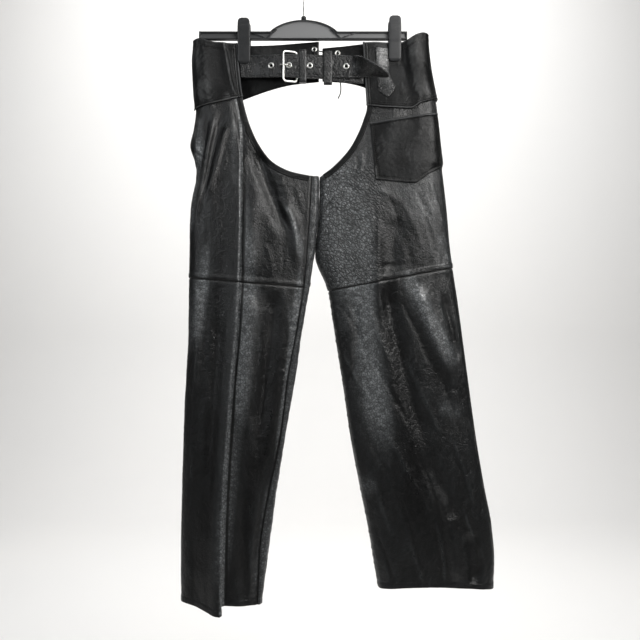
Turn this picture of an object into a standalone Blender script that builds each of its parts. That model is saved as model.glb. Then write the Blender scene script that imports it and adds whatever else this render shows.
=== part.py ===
"""Leather chaps hung by the waist from a clip hanger.

Everything is worked out in millimetres and made in metres. "Drop" is the distance
below the inner top of the hanger's hook, "out" is the distance in front of the
hanger's middle plane, and left and right are the wearer's, so the right leg lies
at negative X. The front of the garment faces -Y.
"""
import math

import bmesh
import bpy
import numpy as np

MM = 0.001

# leather and seams
WALL = 1.8                # thigh and shin panels, yokes
TRIM = 1.5                # strips, tab, pocket and keepers
STRAP = 2.4               # belt billet
SEAM = 0.3                # space between two pieces at a seam
UNDER = 0.6               # space between a panel and a piece that lies on it
ON_TOP = WALL + UNDER     # how far a yoke is moved out from the form of its leg
LAP = 0.25                # how far a thigh panel runs up under its yoke, in rows
BACK_LOWER = 1.0          # how much lower the back opening's edge lies than the front's
EDGE_STRIP = 10.0         # width of the strip along the front opening
STRIP_UNDER = 0.9         # space under it and under the pocket

# belt and buckle
STRAP_HALF_WIDTH = 20.0
BUCKLE_STRAP_WALL = 2.0
EYELETS_X = (-58.0, -26.0, 11.0, 43.0, 76.0)
EYELET_HOLE = 3.5
BELT_START_SLANT = 1.8    # how far the sewn end's lower corner lies from its middle
BUCKLE_WIRE = 1.5
BUCKLE_LEFT, BUCKLE_LEFT_OUT = -36.0, 13.1
BUCKLE_RIGHT, BUCKLE_RIGHT_OUT = -12.0, 4.8
BUCKLE_DROP = 176.5
BUCKLE_HALF_HEIGHT = 26.5
BUCKLE_CORNER = 5.0
PRONG_WIRE = 1.0
PRONG_DROP = 175.2
PRONG_SLOT = 3.0          # half height of the slot in the strap's turn

# hanger
HOOK_WIRE = 1.5
HOOK_RADIUS = 19.5        # to the middle of the wire
COLLAR_TOP = 83.5
COLLAR_RADIUS = 4.5
BAR_TOP = 112.0
BAR_BOTTOM = 126.5
BAR_LEFT = -188.0
BAR_RIGHT = 186.0
ARCH_TOP = 91.3
ARCH_HALF = 60.0
BAR_HALF_DEPTH = 5.5
WEB_HALF_DEPTH = 1.6
RIM = 3.2
MOON_SHARE = 0.8          # width of the recess under the arch, as a share of the arch's
CELL_END = 66.0           # where the long recesses end, from the middle
CLIP_BRIDGE = (8.0, 8.6, 3.5, 21.0)   # half width, half depth, top and bottom below the clip's top
CLIPS = (("clip_right", -107.0, 90.0), ("clip_left", 163.5, 86.0))

LACE_RADIUS = 1.1
LACE_HOLE = 3.2
CUT_REACH = 5.0           # how far a cutter runs past the leather on each side


def columns(names, rows):
    """A table with named columns: each name gives one array, a number for each row."""
    grid = np.array(rows, float)
    return {name: grid[:, i] for i, name in enumerate(names.split())}


# Right leg, from the waist to the hem. outer: silhouette away from the other leg.
# crease: the lapped fold down the front. inner: yoke edge, then front opening, then
# inseam. edge: silhouette towards the other leg. seat: back opening, behind the front.
# At the crotch this edge lies just in front of the other leg's, and covers it.
RIGHT = columns(
    "outer outer_drop crease inner inner_drop edge seat out crease_out "
    "step lap in_out edge_out back dip closed",
    (
        (-196, 129, -146, -119, 135, 0, -128, 10, 5, 0, 0, 1, 0.4, 13, 0, 0),
        (-199, 170, -139, -117, 167, 0, -128, 13, 7, 0, 0, 2, 0.4, 16, 0, 0),
        (-197, 215, -131, -113, 205, 0, -125, 17, 12, 0, 0, 7, 5.0, 19, 0, 0),
        (-194, 254, -121, -109, 232, 0, -122, 20, 17, 2, 0, 14, 12.0, 21, 0, 0),
        (-198, 287, -112, -98, 275, 0, -111, 22, 22, 8, 0, 15, 14.0, 22, 0, 0),
        (-204, 317, -109.5, -79, 318, 0, -91, 24, 25, 9, 0.5, 17, 15.0, 23, 0, 0),
        (-196, 345, -109.5, -54, 349, 0, -60, 25, 26, 9, 1, 18, 15.0, 23, 0, 0),
        (-192, 362, -109.5, -20, 366, 0, -8, 26, 27, 9, 1, 19, 15.0, 23, 0, 0),
        (-193, 379, -110, 14.4, 373, 28.3, 0, 26, 28, 9, 1, 20, 14.0, 22, 0, 1),
        (-203, 432, -110, 11.5, 428, 28, 0, 27, 29, 9, 1, 21, 14.0, 22, 0, 1),
        (-205, 495, -111, 6.5, 503, 20.9, 0, 27, 30, 9, 1, 21, 13.0, 22, 0, 1),
        (-206, 555, -112.5, 0, 572, 11, 0, 26, 31, 9, 1, 21, 12.0, 21, 0, 1),
        (-207, 650, -116.5, -12, 648, -2, 0, 25, 33, 9, 1, 20, 12.0, 20, 0, 1),
        (-211, 726, -124, -27, 725, -13, 0, 25, 34, 10, 1, 20, 12.0, 20, 0, 1),
        (-216, 842, -132, -42, 842, -33, 0, 24, 37, 11, 1, 21, 12.0, 20, 0, 1),
        (-219, 940, -138, -63, 942, -49, 0, 23, 41, 14, 1, 22, 12.0, 20, 0, 1),
        (-221, 1045, -141, -79, 1045, -63, 0, 23, 45, 18, 1, 23, 12.0, 21, 2, 1),
        (-220, 1132, -142, -83, 1138, -75, 0, 23, 49, 23, 1, 24, 12.0, 22, 11, 1),
    ))
RIGHT_YOKE_ROW = 3
RIGHT_CROTCH_ROW = 8
RIGHT_SEAM_ROW = 11

# Left leg. clip: how far out the wall lies where the hanger's clip pinches it.
# rise: how much higher the middle of a row lies than its ends.
# edge_out: how far out the inner edge lies, behind the other leg's below the crotch.
LEFT = columns(
    "outer outer_drop inner inner_drop seat out clip in_out edge_out back back_clip rise closed",
    (
        (221, 108, 105, 126, 114, 10, 0.4, 4, 6, 13, 0.4, 0, 0),
        (226, 165, 108, 168, 117, 13, 0.5, 5, 6, 16, 2, 0, 0),
        (231, 195, 110, 203, 119, 16, 9, 8, 7, 18, 12, 0, 0),
        (238, 236, 113, 247, 124, 19, 17, 14, 10, 20, 20, 0, 0),
        (243, 275, 105, 278, 119, 21, 20, 17, 13, 21, 21, 0, 0),
        (248, 322, 84, 322, 98, 22, 22, 19, 15, 22, 22, 0, 0),
        (251, 348, 59, 351, 67, 23, 23, 20, 15, 22, 22, 0, 0),
        (249, 359, 44, 364, 45, 23, 23, 20, 15, 22, 22, 0, 0),
        (251, 377, 28.6, 373, 0, 23, 23, 20, 1, 22, 22, 0, 1),
        (257, 430, 27.6, 434, 0, 24, 24, 21, -5.5, 22, 22, 0, 1),
        (262, 490, 20.5, 512, 0, 24, 24, 21, -5.5, 22, 22, 0, 1),
        (268, 537, 44, 578, 0, 23, 24, 20, -5.5, 22, 22, 0, 1),
        (277, 598, 52, 630, 0, 22, 23, 20, -5.5, 21, 21, 0, 1),
        (288, 680, 62, 694, 0, 21, 22, 19, -5.5, 20, 20, 0, 1),
        (298, 755, 71, 750, 0, 21, 22, 19, -5.5, 20, 20, 0, 1),
        (309, 835, 84, 840, 0, 21, 21, 19, -5.5, 20, 20, 0, 1),
        (324, 925, 101, 930, 0, 21, 21, 19, -5.5, 20, 20, 0, 1),
        (338, 1000, 117, 1010, 0, 21, 21, 19, -5.5, 20, 20, 2, 1),
        (343, 1060, 126, 1065, 0, 21, 21, 20, -5.5, 21, 21, 4, 1),
        (341, 1111, 134, 1110, 0, 21, 21, 20, -5.5, 22, 22, 6, 1),
    ))
LEFT_YOKE_ROW = 3
LEFT_CROTCH_ROW = 8
LEFT_SEAM_ROW = 11

# The lap of the crease, from the front of its roll to the wall behind it.
CREASE = columns("across behind", (
    (-9.0, 0.0), (-2.2, 0.2), (0.0, 2.7), (-2.4, 5.2), (-8.0, 5.8), (-9.4, 7.0), (-8.0, 8.3),
    (1.0, 8.8)))

# Largest folds: a bent line through three places, a half-width and a height.
# A ridge is positive and a valley negative.
FOLD_COLUMNS = "x0 drop0 x1 drop1 x2 drop2 width height"
RIGHT_FRONT_FOLDS = columns(FOLD_COLUMNS, (
    (-157, 264, -177, 367, -195, 467, 6, 4),
    (-146, 263, -162, 337, -178, 417, 6, -4),
    (-134, 277, -153, 346, -174, 421, 6, 4),
    (-88, 320, -63, 392, -29, 476, 13, -12),
    (-45, 422, -15, 467, -8, 545, 10, 8),
    (-90, 399, -93, 488, -93, 557, 16, 5),
    (-95, 571, -97, 674, -109, 807, 16, 6),
    (-54, 577, -63, 683, -86, 896, 13, -8),
    (-11, 586, -29, 701, -59, 896, 8, 5),
    (-102, 896, -107, 1056, -102, 1134, 10, -5),
    (-74, 914, -91, 1056, -95, 1132, 8, 4),
    (-189, 577, -189, 648, -196, 807, 10, 4),
    (-145, 568, -157, 772, -173, 985, 13, -5),
))
RIGHT_BACK_FOLDS = columns(FOLD_COLUMNS, (
    (-150, 262, -160, 360, -150, 470, 14, 5),
    (-110, 300, -90, 400, -60, 500, 14, -7),
    (-40, 420, -20, 500, -30, 600, 10, 6),
    (-150, 560, -130, 700, -110, 860, 16, -7),
    (-80, 620, -90, 760, -120, 900, 12, 6),
    (-175, 800, -165, 950, -170, 1100, 12, 5),
    (-120, 930, -110, 1040, -120, 1120, 12, -6),
))
LEFT_FRONT_FOLDS = columns(FOLD_COLUMNS, (
    (143, 559, 171, 683, 221, 878, 14, -8),
    (198, 563, 228, 648, 272, 758, 14, 7),
    (246, 580, 264, 648, 280, 710, 8, -5),
    (86, 591, 95, 674, 75, 758, 6, -4),
    (132, 444, 132, 541, 141, 639, 9, 4),
    (166, 444, 160, 500, 155, 560, 14, -4),
    (216, 861, 250, 940, 269, 985, 12, -5),
    (242, 914, 264, 1020, 274, 1106, 12, 7),
    (292, 1003, 299, 1056, 303, 1106, 9, -7),
))
LEFT_BACK_FOLDS = columns(FOLD_COLUMNS, (
    (190, 270, 200, 360, 190, 460, 14, 5),
    (130, 300, 110, 400, 80, 500, 14, -7),
    (220, 560, 200, 700, 160, 860, 16, -7),
    (120, 600, 150, 740, 200, 880, 13, 6),
    (260, 760, 280, 900, 285, 1050, 12, 5),
    (200, 950, 215, 1040, 225, 1100, 12, -6),
))

# Waist at the back, between the side seams: how far behind its upper and lower parts
# lie, and the drops of its two edges.
BACK_WAIST_RIGHT = columns("x behind low top bottom", (
    (-184, 14, 23.8, 128, 250), (-165, 15, 24.4, 131, 246), (-142, 8, 24.4, 134, 239),
    (-120, 2.5, 23.6, 136, 231),
    (-94, 2.5, 18, 136, 223), (-60, 6.5, 13, 134, 213), (-20, 9.5, 10.5, 130, 204),
    (27, 10, 10, 126, 199)))
BACK_WAIST_LEFT = columns("x behind low top bottom", (
    (34, 10, 10, 138, 198), (70, 9, 10.5, 135, 200), (108, 5, 16, 132, 207), (150, 2.5, 23, 130, 222),
    (177, 2.5, 24, 130, 230), (197, 11, 24.2, 121, 234), (212, 13, 23.8, 117, 236)))
BACK_DEEPENS = (170.0, 55.0)      # drop where the lower part begins, and the length of the change

# Billet of the belt, from its sewn end to its curled tip. roll turns its lower edge back.
BILLET = columns("x drop out half_width roll", (
    (-113.6, 174, 2.7, 19.5, 0), (-96, 174, 2.9, 20, 0), (-72, 174.5, 6.5, 20, 0),
    (-50, 175, 10.4, 20, 0),
    (-36, 175, 11.3, 20, 0), (-12, 175.5, 11.3, 20, 0), (20, 176, 11.3, 20, 0), (50, 176.5, 11.3, 20, 0),
    (66, 177, 12.0, 20, 0), (84, 178, 13.2, 19.5, 0), (96, 180.5, 18.5, 19, 20), (109, 185, 26, 17, 44),
    (128, 192, 30, 13.5, 60), (143, 198, 29, 8, 60), (150, 201, 28, 2.5, 60)))

# Strap that carries the buckle: front layer, turn round the buckle's bar, back layer.
BUCKLE_STRAP = columns("x out drop", (
    (107.0, 8.2, 186), (80, 8.6, 184), (50, 8.6, 180), (20, 8.6, 177), (-4, 8.6, 176), (-12, 8.6, 176),
    (-14.7, 7.5, 176), (-15.8, 4.8, 176), (-14.7, 2.1, 176), (-12, 1.0, 176), (-4, 1.0, 176),
    (20, 1.0, 177)))

PRONG = columns("x out", (
    (-8.8, 7.6), (-15, 7.5), (-21.8, 7.4), (-23.8, 8.0), (-24.9, 9.2), (-26.0, 11.0), (-27.1, 12.8),
    (-28.6, 14.2), (-31.5, 15.4), (-36, 16.2), (-41.5, 15.8)))

# Each keeper: its two sides, the space inside it from front to back, and its drops.
KEEPERS = columns("start end front back top bottom", (
    (-7.5, 5.0, 11.9, 0.6, 148, 204), (36, 51, 12.9, 5.8, 151, 208)))

TAB = columns("drop left right", (
    (142, 128, 151), (165, 129, 152), (184, 130, 153), (201, 131.5, 157), (214, 133, 163),
    (221, 134, 161),
    (228, 142, 156), (233, 149, 152)))

YOKE_TOP_LEFT = columns("x drop", (
    (105, 133), (128, 132), (177, 131), (185, 129), (204, 119), (215, 116), (224, 118)))
YOKE_BOTTOM_LEFT = columns("x drop", ((113, 247), (152, 252), (191, 254), (207, 245), (240, 234)))
YOKE_TOP_RIGHT = columns("x drop", ((-200, 131), (-187, 127), (-164, 132), (-119, 133)))

POCKET_INNER = columns("x drop", ((119, 279), (123.5, 330), (128, 381)))
POCKET_TOP = columns("x drop", ((119, 279), (180, 270), (240, 261)))
POCKET_BOTTOM = columns("x drop", ((128, 381), (160, 384), (195, 387), (222, 371), (252, 353)))

# Pinching jaw of a clip, from its rounded top down: outer and inner face, half width.
JAW = columns("down outer inner half", (
    (0, 11.6, 9.6, 5.0), (2, 12.6, 9.2, 8.6), (6, 13.0, 9.0, 10.6), (22, 12.6, 8.9, 11.3),
    (30, 11.6, 6.6, 11.3),
    (41, 10.2, 6.0, 11.3), (47, 9.0, 3.1, 11.3), (66, 7.8, 3.1, 11.3), (75, 6.8, 3.1, 10.8),
    (79, 5.2, 3.1, 8.8)))

# The hook's wire, from the collar up to where its round part begins.
HOOK_STEM = columns("x drop", ((0, 83.2), (0, 70), (0, 60), (1.5, 54), (5.5, 46), (11, 37), (16, 28.5)))
HOOK_START, HOOK_END = -16.0, 208.0    # degrees round its bend, from the stem's side

# Route of the lace through the back eyelets, from its long free end to its short one.
LACE = columns("x drop behind", (
    (62, 230, 5.2), (66, 221, 5.0), (67, 212, 4.8), (66, 202, 4.8), (63, 194, 4.6), (61.4, 190.2, 4.9),
    (61, 188.3, 6.7), (61, 188, 9.4), (59.6, 187.1, 11.8), (50, 180.7, 12.6), (35, 170.7, 12.9),
    (24, 163.3, 12.9),
    (20.2, 160.8, 12.2), (19, 160, 10.0), (19, 159.8, 7.2), (19, 157.6, 5.1), (19, 150, 4.9),
    (19, 142.4, 5.1),
    (19, 140.2, 7.2), (19, 140, 10.0), (20.4, 140.2, 12.2), (30, 142, 12.9), (50, 145.2, 12.6),
    (59.6, 146.8, 11.8),
    (61, 147, 9.4), (61, 147.3, 6.7), (61, 149.4, 4.6), (61, 157, 4.4), (61, 164.6, 4.6),
    (61, 166.7, 6.7),
    (61, 167, 9.4), (59.6, 167.4, 12.0), (51, 170.1, 15.2), (39.5, 173.6, 16.4),
    (28, 177.2, 15.4), (20.4, 179.6, 12.6),
    (19, 180, 10.0), (19, 180.2, 7.2), (19, 182.4, 5.1), (18.6, 188, 4.9), (18, 194, 5.0)))
LACE_EYELETS = columns("x drop", ((19, 140), (19, 160), (19, 180), (61, 147), (61, 167), (61, 188)))


def clear_scene():
    for obj in list(bpy.data.objects):
        bpy.data.objects.remove(obj, do_unlink=True)


def finish(name, colour, roughness, metallic=0.0):
    """One plain material, as the base colour, roughness and metallic value say."""
    material = bpy.data.materials.new(name)
    material.use_nodes = True
    shader = material.node_tree.nodes["Principled BSDF"]
    shader.inputs["Base Color"].default_value = (*colour, 1.0)
    shader.inputs["Roughness"].default_value = roughness
    shader.inputs["Metallic"].default_value = metallic
    return material


FINISHES = {
    "grained": ((0.020, 0.021, 0.022), 0.42, 0.0),
    "smooth": ((0.030, 0.031, 0.033), 0.50, 0.0),
    "belt": ((0.018, 0.018, 0.019), 0.38, 0.0),
    "plastic": ((0.035, 0.036, 0.038), 0.35, 0.0),
    "nickel": ((0.70, 0.69, 0.66), 0.25, 1.0),
    "lace": ((0.02, 0.02, 0.02), 0.8, 0.0),
}


def add_object(name, vertices, faces, finish_name, smooth_angle=40.0):
    """Millimetre points and faces as one named object in metres, its faces turned out."""
    mesh = bpy.data.meshes.new(name)
    mesh.from_pydata([tuple(v) for v in np.asarray(vertices) * MM], [], faces)
    body = bmesh.new()
    body.from_mesh(mesh)
    bmesh.ops.recalc_face_normals(body, faces=body.faces)
    body.to_mesh(mesh)
    body.free()
    mesh.shade_smooth()
    mesh.set_sharp_from_angle(angle=math.radians(smooth_angle))
    obj = bpy.data.objects.new(name, mesh)
    obj.data.materials.append(finish(name + "_finish", *FINISHES[finish_name]))
    bpy.context.collection.objects.link(obj)
    return obj


def slopes(values):
    """Slope at each row of values: level where the rows turn back."""
    step = np.diff(values, axis=0)
    before, after = step[:-1], step[1:]
    same = before * after > 0
    middle = np.where(same, 2 * before * after / np.where(same, before + after, 1.0), 0.0)
    return np.concatenate([step[:1], middle, step[-1:]])


def glide(values, at, slope_in=None, slope_out=None):
    """Smooth curve through the rows of values, read at the row numbers in at."""
    values = np.asarray(values, float)
    at = np.asarray(at, float)
    if slope_in is None:
        slope_in = slope_out = slopes(values)
    i = np.clip(np.floor(at).astype(int), 0, len(values) - 2)
    t = (at - i).reshape(at.shape + (1,) * (values.ndim - 1))
    start, end = values[i], values[i + 1]
    return (start * (1 + 2 * t) * (1 - t) ** 2 + end * t * t * (3 - 2 * t)
            + slope_out[i] * t * (1 - t) ** 2 + slope_in[i + 1] * t * t * (t - 1))


def along(keys, values, at):
    """Monotone cubic of values over uneven, rising keys."""
    return glide(values, np.interp(at, keys, np.arange(len(keys))))


def through_knots(knots, s):
    """Smooth curve through knots (..., K, 3) at s (...): knot 0 and the last one only steer."""
    chord = np.diff(knots, axis=-2)
    length = np.linalg.norm(chord, axis=-1, keepdims=True) + 1e-6
    speed = chord / length
    before, after = length[..., :-1, :], length[..., 1:, :]
    lean = (speed[..., :-1, :] * after + speed[..., 1:, :] * before) / (before + after)
    i = np.clip(np.floor(s).astype(int), 1, knots.shape[-2] - 3)
    t = (s - i)[..., None]

    def pick(values, index):
        return np.take_along_axis(values, index[..., None, None], axis=-2)[..., 0, :]

    start, end = pick(knots, i), pick(knots, i + 1)
    span = pick(length, i)
    lean_start, lean_end = pick(lean, i - 1) * span, pick(lean, i) * span
    return (start * (1 + 2 * t) * (1 - t) ** 2 + end * t * t * (3 - 2 * t)
            + lean_start * t * (1 - t) ** 2 + lean_end * t * t * (t - 1))


def mix(a, b, amount):
    return a + (b - a) * amount


def ease(x):
    x = np.clip(x, 0.0, 1.0)
    return x * x * (3 - 2 * x)


def fold_height(folds, x, drop):
    """Sum of the folds at each place: a bell across the fold's line, fading at both ends."""
    total = np.zeros(np.shape(x))
    for k in range(len(folds["width"])):
        line = np.array([[folds["x%d" % j][k], folds["drop%d" % j][k]] for j in range(3)])
        run = np.linspace(0, 1, 15)[:, None]
        steer = 4 * line[1] - line[0] - line[2]
        curve = line[0] * (1 - run) ** 2 + steer * run * (1 - run) + line[2] * run ** 2
        away = np.hypot(x[..., None] - curve[:, 0], drop[..., None] - curve[:, 1])
        nearest = away.min(axis=-1)
        place = run[away.argmin(axis=-1), 0]
        fade = ease(place / 0.22) * ease((1 - place) / 0.22) * 0.9 + 0.1
        total += folds["height"][k] * fade * np.exp(-(nearest / folds["width"][k]) ** 2)
    return total


def stack(xs, outs, drops):
    """Knots (rows, K, 3) out of lists of columns: x, distance in front, drop."""
    return np.stack([np.stack(xs, 1), -np.stack(outs, 1), -np.stack(drops, 1)], axis=-1)


def right_nets():
    """Knots of the right leg's front and back, round each row of the table."""
    t = RIGHT
    span = t["crease"] - 9 - t["outer"]
    xs = [t["outer"] + span * f for f in (0, 0.03, 0.15, 0.40, 0.72)]
    outs = [t["out"] * f for f in (0, 0.45, 0.80, 1.0)] + [mix(t["out"], t["crease_out"], 0.55)]
    flat = np.linspace(CREASE["across"][0], CREASE["across"][-1], len(CREASE["across"]))
    full = CREASE["behind"][-1]
    dips = [0 * span] * 5
    for k, (across, behind) in enumerate(zip(CREASE["across"], CREASE["behind"])):
        xs.append(t["crease"] + mix(flat[k], across, t["lap"]))
        last = k == len(flat) - 1
        behind = mix(full * k / (len(flat) - 1), behind, t["lap"])
        beyond = np.maximum(t["step"] - full, 0) if last else 0
        depth = np.minimum(t["step"], full) / full * behind + beyond
        outs.append(t["crease_out"] - depth)
        dips.append(t["dip"] * (1 - behind / full) ** 0.5)
    dips[3:5] = [t["dip"] * 0.3, t["dip"] * 0.7]
    behind_lip = outs[-1]
    reach = t["inner"] - xs[-1]
    start = xs[-1]
    xs += [start + reach * f for f in (0.22, 0.5, 0.8, 1.0)]
    outs += [mix(behind_lip, t["in_out"], 0.7), t["in_out"],
             mix(t["in_out"], t["edge_out"], 0.6), t["edge_out"]]
    dips += [0 * span] * 4
    drops = [mix(t["outer_drop"], t["inner_drop"], (x - t["outer"]) / (t["inner"] - t["outer"])) + dip
             for x, dip in zip(xs, dips)]

    closed = t["closed"] > 0.5
    width = t["edge"] - t["outer"]
    strip = t["edge"] - t["inner"]
    shut_x = [t["inner"], t["inner"] + 0.55 * strip, t["inner"] + 0.9 * strip, t["edge"]]
    shut_x += [t["edge"] - width * f for f in (0.03, 0.12, 0.3, 0.55, 0.8)]
    shut_out = [t["edge_out"], t["edge_out"] - 0.3, 0.65 * t["edge_out"], 0.25 * t["edge_out"]]
    shut_out += [-t["back"] * f for f in (0.5, 0.85, 1.0, 1.0, 0.97)]
    seat_width = t["seat"] - t["outer"]
    open_x = [t["seat"] - seat_width * 0.15 * (k - 3) for k in range(9)]
    open_out = [-t["back"] * f for f in (0.7, 0.74, 0.78, 0.82, 0.93, 1.0, 1.0, 0.98, 0.95)]
    back_x = [np.where(closed, a, b) for a, b in zip(shut_x, open_x)]
    back_out = [np.where(closed, a, b) for a, b in zip(shut_out, open_out)]
    total = np.where(closed, width, seat_width)
    back_x += [t["outer"] + total * 0.09, t["outer"] + total * 0.02, t["outer"]]
    back_out += [-0.8 * t["back"], -0.45 * t["back"], 0 * width]
    reach = np.where(closed, t["inner"], t["seat"]) - t["outer"]
    inner_drop = t["inner_drop"] + np.where(closed, 0, BACK_LOWER)
    back_drops = [mix(t["outer_drop"], inner_drop, (x - t["outer"]) / reach) for x in back_x]
    front = stack(xs, outs, drops)
    back = stack(back_x, back_out, back_drops)
    return join_nets(front, back, closed)


def left_nets():
    """Knots of the left leg's front and back, round each row of the table."""
    t = LEFT
    closed = t["closed"] > 0.5
    width = t["outer"] - t["inner"]
    parts = (0, 0.02, 0.08, 0.22, 0.39, 0.5, 0.61, 0.78, 0.92, 0.98, 1.0)
    xs = [t["outer"] - width * f for f in parts]
    outs = [0 * width, 0.45 * t["out"], 0.8 * t["out"], t["out"]]
    outs += [t["clip"], t["clip"], t["clip"], t["in_out"]]
    outs += [np.where(closed, t["in_out"] * a, mix(t["in_out"], t["edge_out"], b))
             for a, b in ((0.82, 0.5), (0.45, 0.8))] + [t["edge_out"]]
    drops = [mix(t["outer_drop"], t["inner_drop"], f) - t["rise"] * 4 * f * (1 - f) for f in parts]

    back_parts = (0, 0.02, 0.08, 0.22, 0.4, 0.6, 0.8, 0.92, 0.98, 1.0)
    seat_width = t["outer"] - t["seat"]
    back_x = [np.where(closed, t["inner"] + width * f, t["seat"] + seat_width * f) for f in back_parts]
    shut = (0, 0.62, 0.86, 1.0, 1.0, 1.0, 0.98)
    opened = (0.82, 0.84, 0.88, 0.95, 1.0, 1.0, 0.98)
    back_out = [np.where(closed, -t["back"] * a, -t["back"] * b) for a, b in zip(shut, opened)]
    back_out[0] = np.where(closed, outs[-1], back_out[0])
    back_out += [-0.8 * t["back"], -0.45 * t["back"], 0 * width]
    inner_drop = t["inner_drop"] + np.where(closed, 0, BACK_LOWER)
    back_drops = [mix(inner_drop, t["outer_drop"], f) for f in back_parts]
    front = stack(xs, outs, drops)
    back = stack(back_x, back_out, back_drops)
    return join_nets(front, back, closed)


def join_nets(front, back, closed):
    """Add the knots that steer each net's ends: the other net's, or a straight run at an open edge."""
    ahead = np.where(closed[:, None], back[:, 1], 2 * front[:, -1] - front[:, -2])
    behind = np.where(closed[:, None], front[:, -2], 2 * back[:, 0] - back[:, 1])
    whole_front = np.concatenate([back[:, -2:-1], front, ahead[:, None]], axis=1)
    whole_back = np.concatenate([behind[:, None], back, front[:, 1:2]], axis=1)
    return whole_front, whole_back


class Panel:
    """One face of a leg: a net of knots with folds, read at s round it and v down it."""

    def __init__(self, net, folds, side, front, crotch):
        self.net = net
        self.folds = folds
        self.side = side                      # -1 for the right leg, +1 for the left
        self.towards = -1.0 if front else 1.0
        self.first = 1.0
        self.last = net.shape[1] - 2.0
        # at the crotch row the opening's knots turn a corner; those at the side seam do not
        corner = slice(-3, None) if front else slice(0, -3)
        self.slope_in, self.slope_out = slopes(net), slopes(net)
        self.slope_in[crotch, corner] = net[crotch, corner] - net[crotch - 1, corner]
        self.slope_out[crotch, corner] = net[crotch + 1, corner] - net[crotch, corner]

    def points(self, s, v):
        s, v = np.broadcast_arrays(np.asarray(s, float), np.asarray(v, float))
        place = through_knots(glide(self.net, v, self.slope_in, self.slope_out), s)
        fade = ease((s - self.first) / 2.5) * ease((self.last - s) / 1.5)
        lift = fold_height(self.folds, place[..., 0], -place[..., 2]) * fade
        place[..., 1] += self.towards * lift
        return place

    def normals(self, s, v):
        """Level direction outwards at each place."""
        small = 0.02
        ds = self.points(s + small, v) - self.points(s - small, v)
        n = self.side * np.stack([-ds[..., 1], ds[..., 0], 0 * ds[..., 0]], axis=-1)
        return n / np.linalg.norm(n, axis=-1, keepdims=True)

    def moved_out(self, s, v, distance):
        return self.points(s, v) + distance * self.normals(s, v)

    def level(self, s, v, drop_at):
        """Find v, for each s, where the drop is what drop_at says for that x."""
        s, v = (a.copy() for a in np.broadcast_arrays(np.asarray(s, float), np.asarray(v, float)))
        small = 0.01
        for _ in range(25):
            here = self.points(s, v)
            steep = (here[..., 2] - self.points(s, v + small)[..., 2]) / small
            move = (drop_at(here[..., 0]) + here[..., 2]) / np.maximum(steep, 1.0)
            v = np.clip(v + np.clip(move, -0.7, 0.7), -0.3, len(self.net) - 1)
        return v

    def locate(self, x, drop, s, v):
        """Find s and v of a place given by x and drop, from a first guess."""
        s = np.full(np.shape(x), 1.0) * s
        v = np.full(np.shape(x), 1.0) * v
        small = 0.01
        for _ in range(25):
            here = self.points(s, v)
            ds = (self.points(s + small, v) - here) / small
            dv = (self.points(s, v + small) - here) / small
            miss_x = x - here[..., 0]
            miss_z = -drop - here[..., 2]
            det = ds[..., 0] * dv[..., 2] - dv[..., 0] * ds[..., 2]
            det = np.where(np.abs(det) < 1e-6, 1e-6, det)
            move_s = (miss_x * dv[..., 2] - miss_z * dv[..., 0]) / det
            move_v = (miss_z * ds[..., 0] - miss_x * ds[..., 2]) / det
            s = np.clip(s + np.clip(move_s, -0.7, 0.7), self.first, self.last)
            v = np.clip(v + np.clip(move_v, -0.7, 0.7), 0, len(self.net) - 1)
        return s, v


def wall(name, outer, inner, finish_name):
    """Closed wall between an outer and an inner grid of points (rows, columns, 3)."""
    rows, cols = outer.shape[:2]
    count = rows * cols
    vertices = np.concatenate([outer.reshape(-1, 3), inner.reshape(-1, 3)])
    faces = []
    for r in range(rows - 1):
        for c in range(cols - 1):
            a = r * cols + c
            faces.append((a, a + 1, a + cols + 1, a + cols))
            faces.append((count + a, count + a + cols, count + a + cols + 1, count + a + 1))
    rim = [c for c in range(cols)]
    rim += [r * cols + cols - 1 for r in range(1, rows)]
    rim += [(rows - 1) * cols + c for c in range(cols - 2, -1, -1)]
    rim += [r * cols for r in range(rows - 2, 0, -1)]
    for a, b in zip(rim, rim[1:] + rim[:1]):
        faces.append((b, a, count + a, count + b))
    return add_object(name, vertices, faces, finish_name)


def shrink_ends(grid, rows=(0.0, 0.0), cols=(0.0, 0.0)):
    """Pull the first and last rows and columns in along the surface by these distances."""
    out = grid.copy()
    for axis, (start, end) in ((0, rows), (1, cols)):
        g = np.moveaxis(out, axis, 0)
        for index, neighbour, amount in ((0, 1, start), (-1, -2, end)):
            if amount:
                run = g[neighbour] - g[index]
                g[index] += run / np.linalg.norm(run, axis=-1, keepdims=True) * amount
    return out


def panel_wall(name, panel, s_list, v_list, rows=(0.0, 0.0), cols=(0.0, 0.0), lift=0.0, thick=WALL,
               finish_name="grained"):
    """A piece of leather on a panel's form, lift away from it, with its ends trimmed."""
    v, s = np.meshgrid(np.asarray(v_list, float), np.asarray(s_list, float), indexing="ij")
    outer = panel.moved_out(s, v, lift)
    inner = panel.moved_out(s, v, lift - thick)
    return wall(name, shrink_ends(outer, rows, cols), shrink_ends(inner, rows, cols), finish_name)


def steps(*marks):
    """Rising marks with the number of steps between them: steps(a, 3, b, 2, c)."""
    out = [float(marks[0])]
    for count, end in zip(marks[1::2], marks[2::2]):
        out += list(np.linspace(out[-1], end, count + 1)[1:])
    return out


def grid_wall(name, panel, s, v, lift, thick, finish_name, rows=(0.0, 0.0), cols=(0.0, 0.0)):
    """A piece on a panel's form, at the s and v of each of its points, lift away from it."""
    outer = shrink_ends(panel.moved_out(s, v, lift), rows, cols)
    inner = shrink_ends(panel.moved_out(s, v, lift - thick), rows, cols)
    return wall(name, outer, inner, finish_name)


def free_wall(name, outer, normals, thick, finish_name):
    """A wall under a free grid of points, along the normals given."""
    return wall(name, outer, outer - normals * thick, finish_name)


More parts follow.
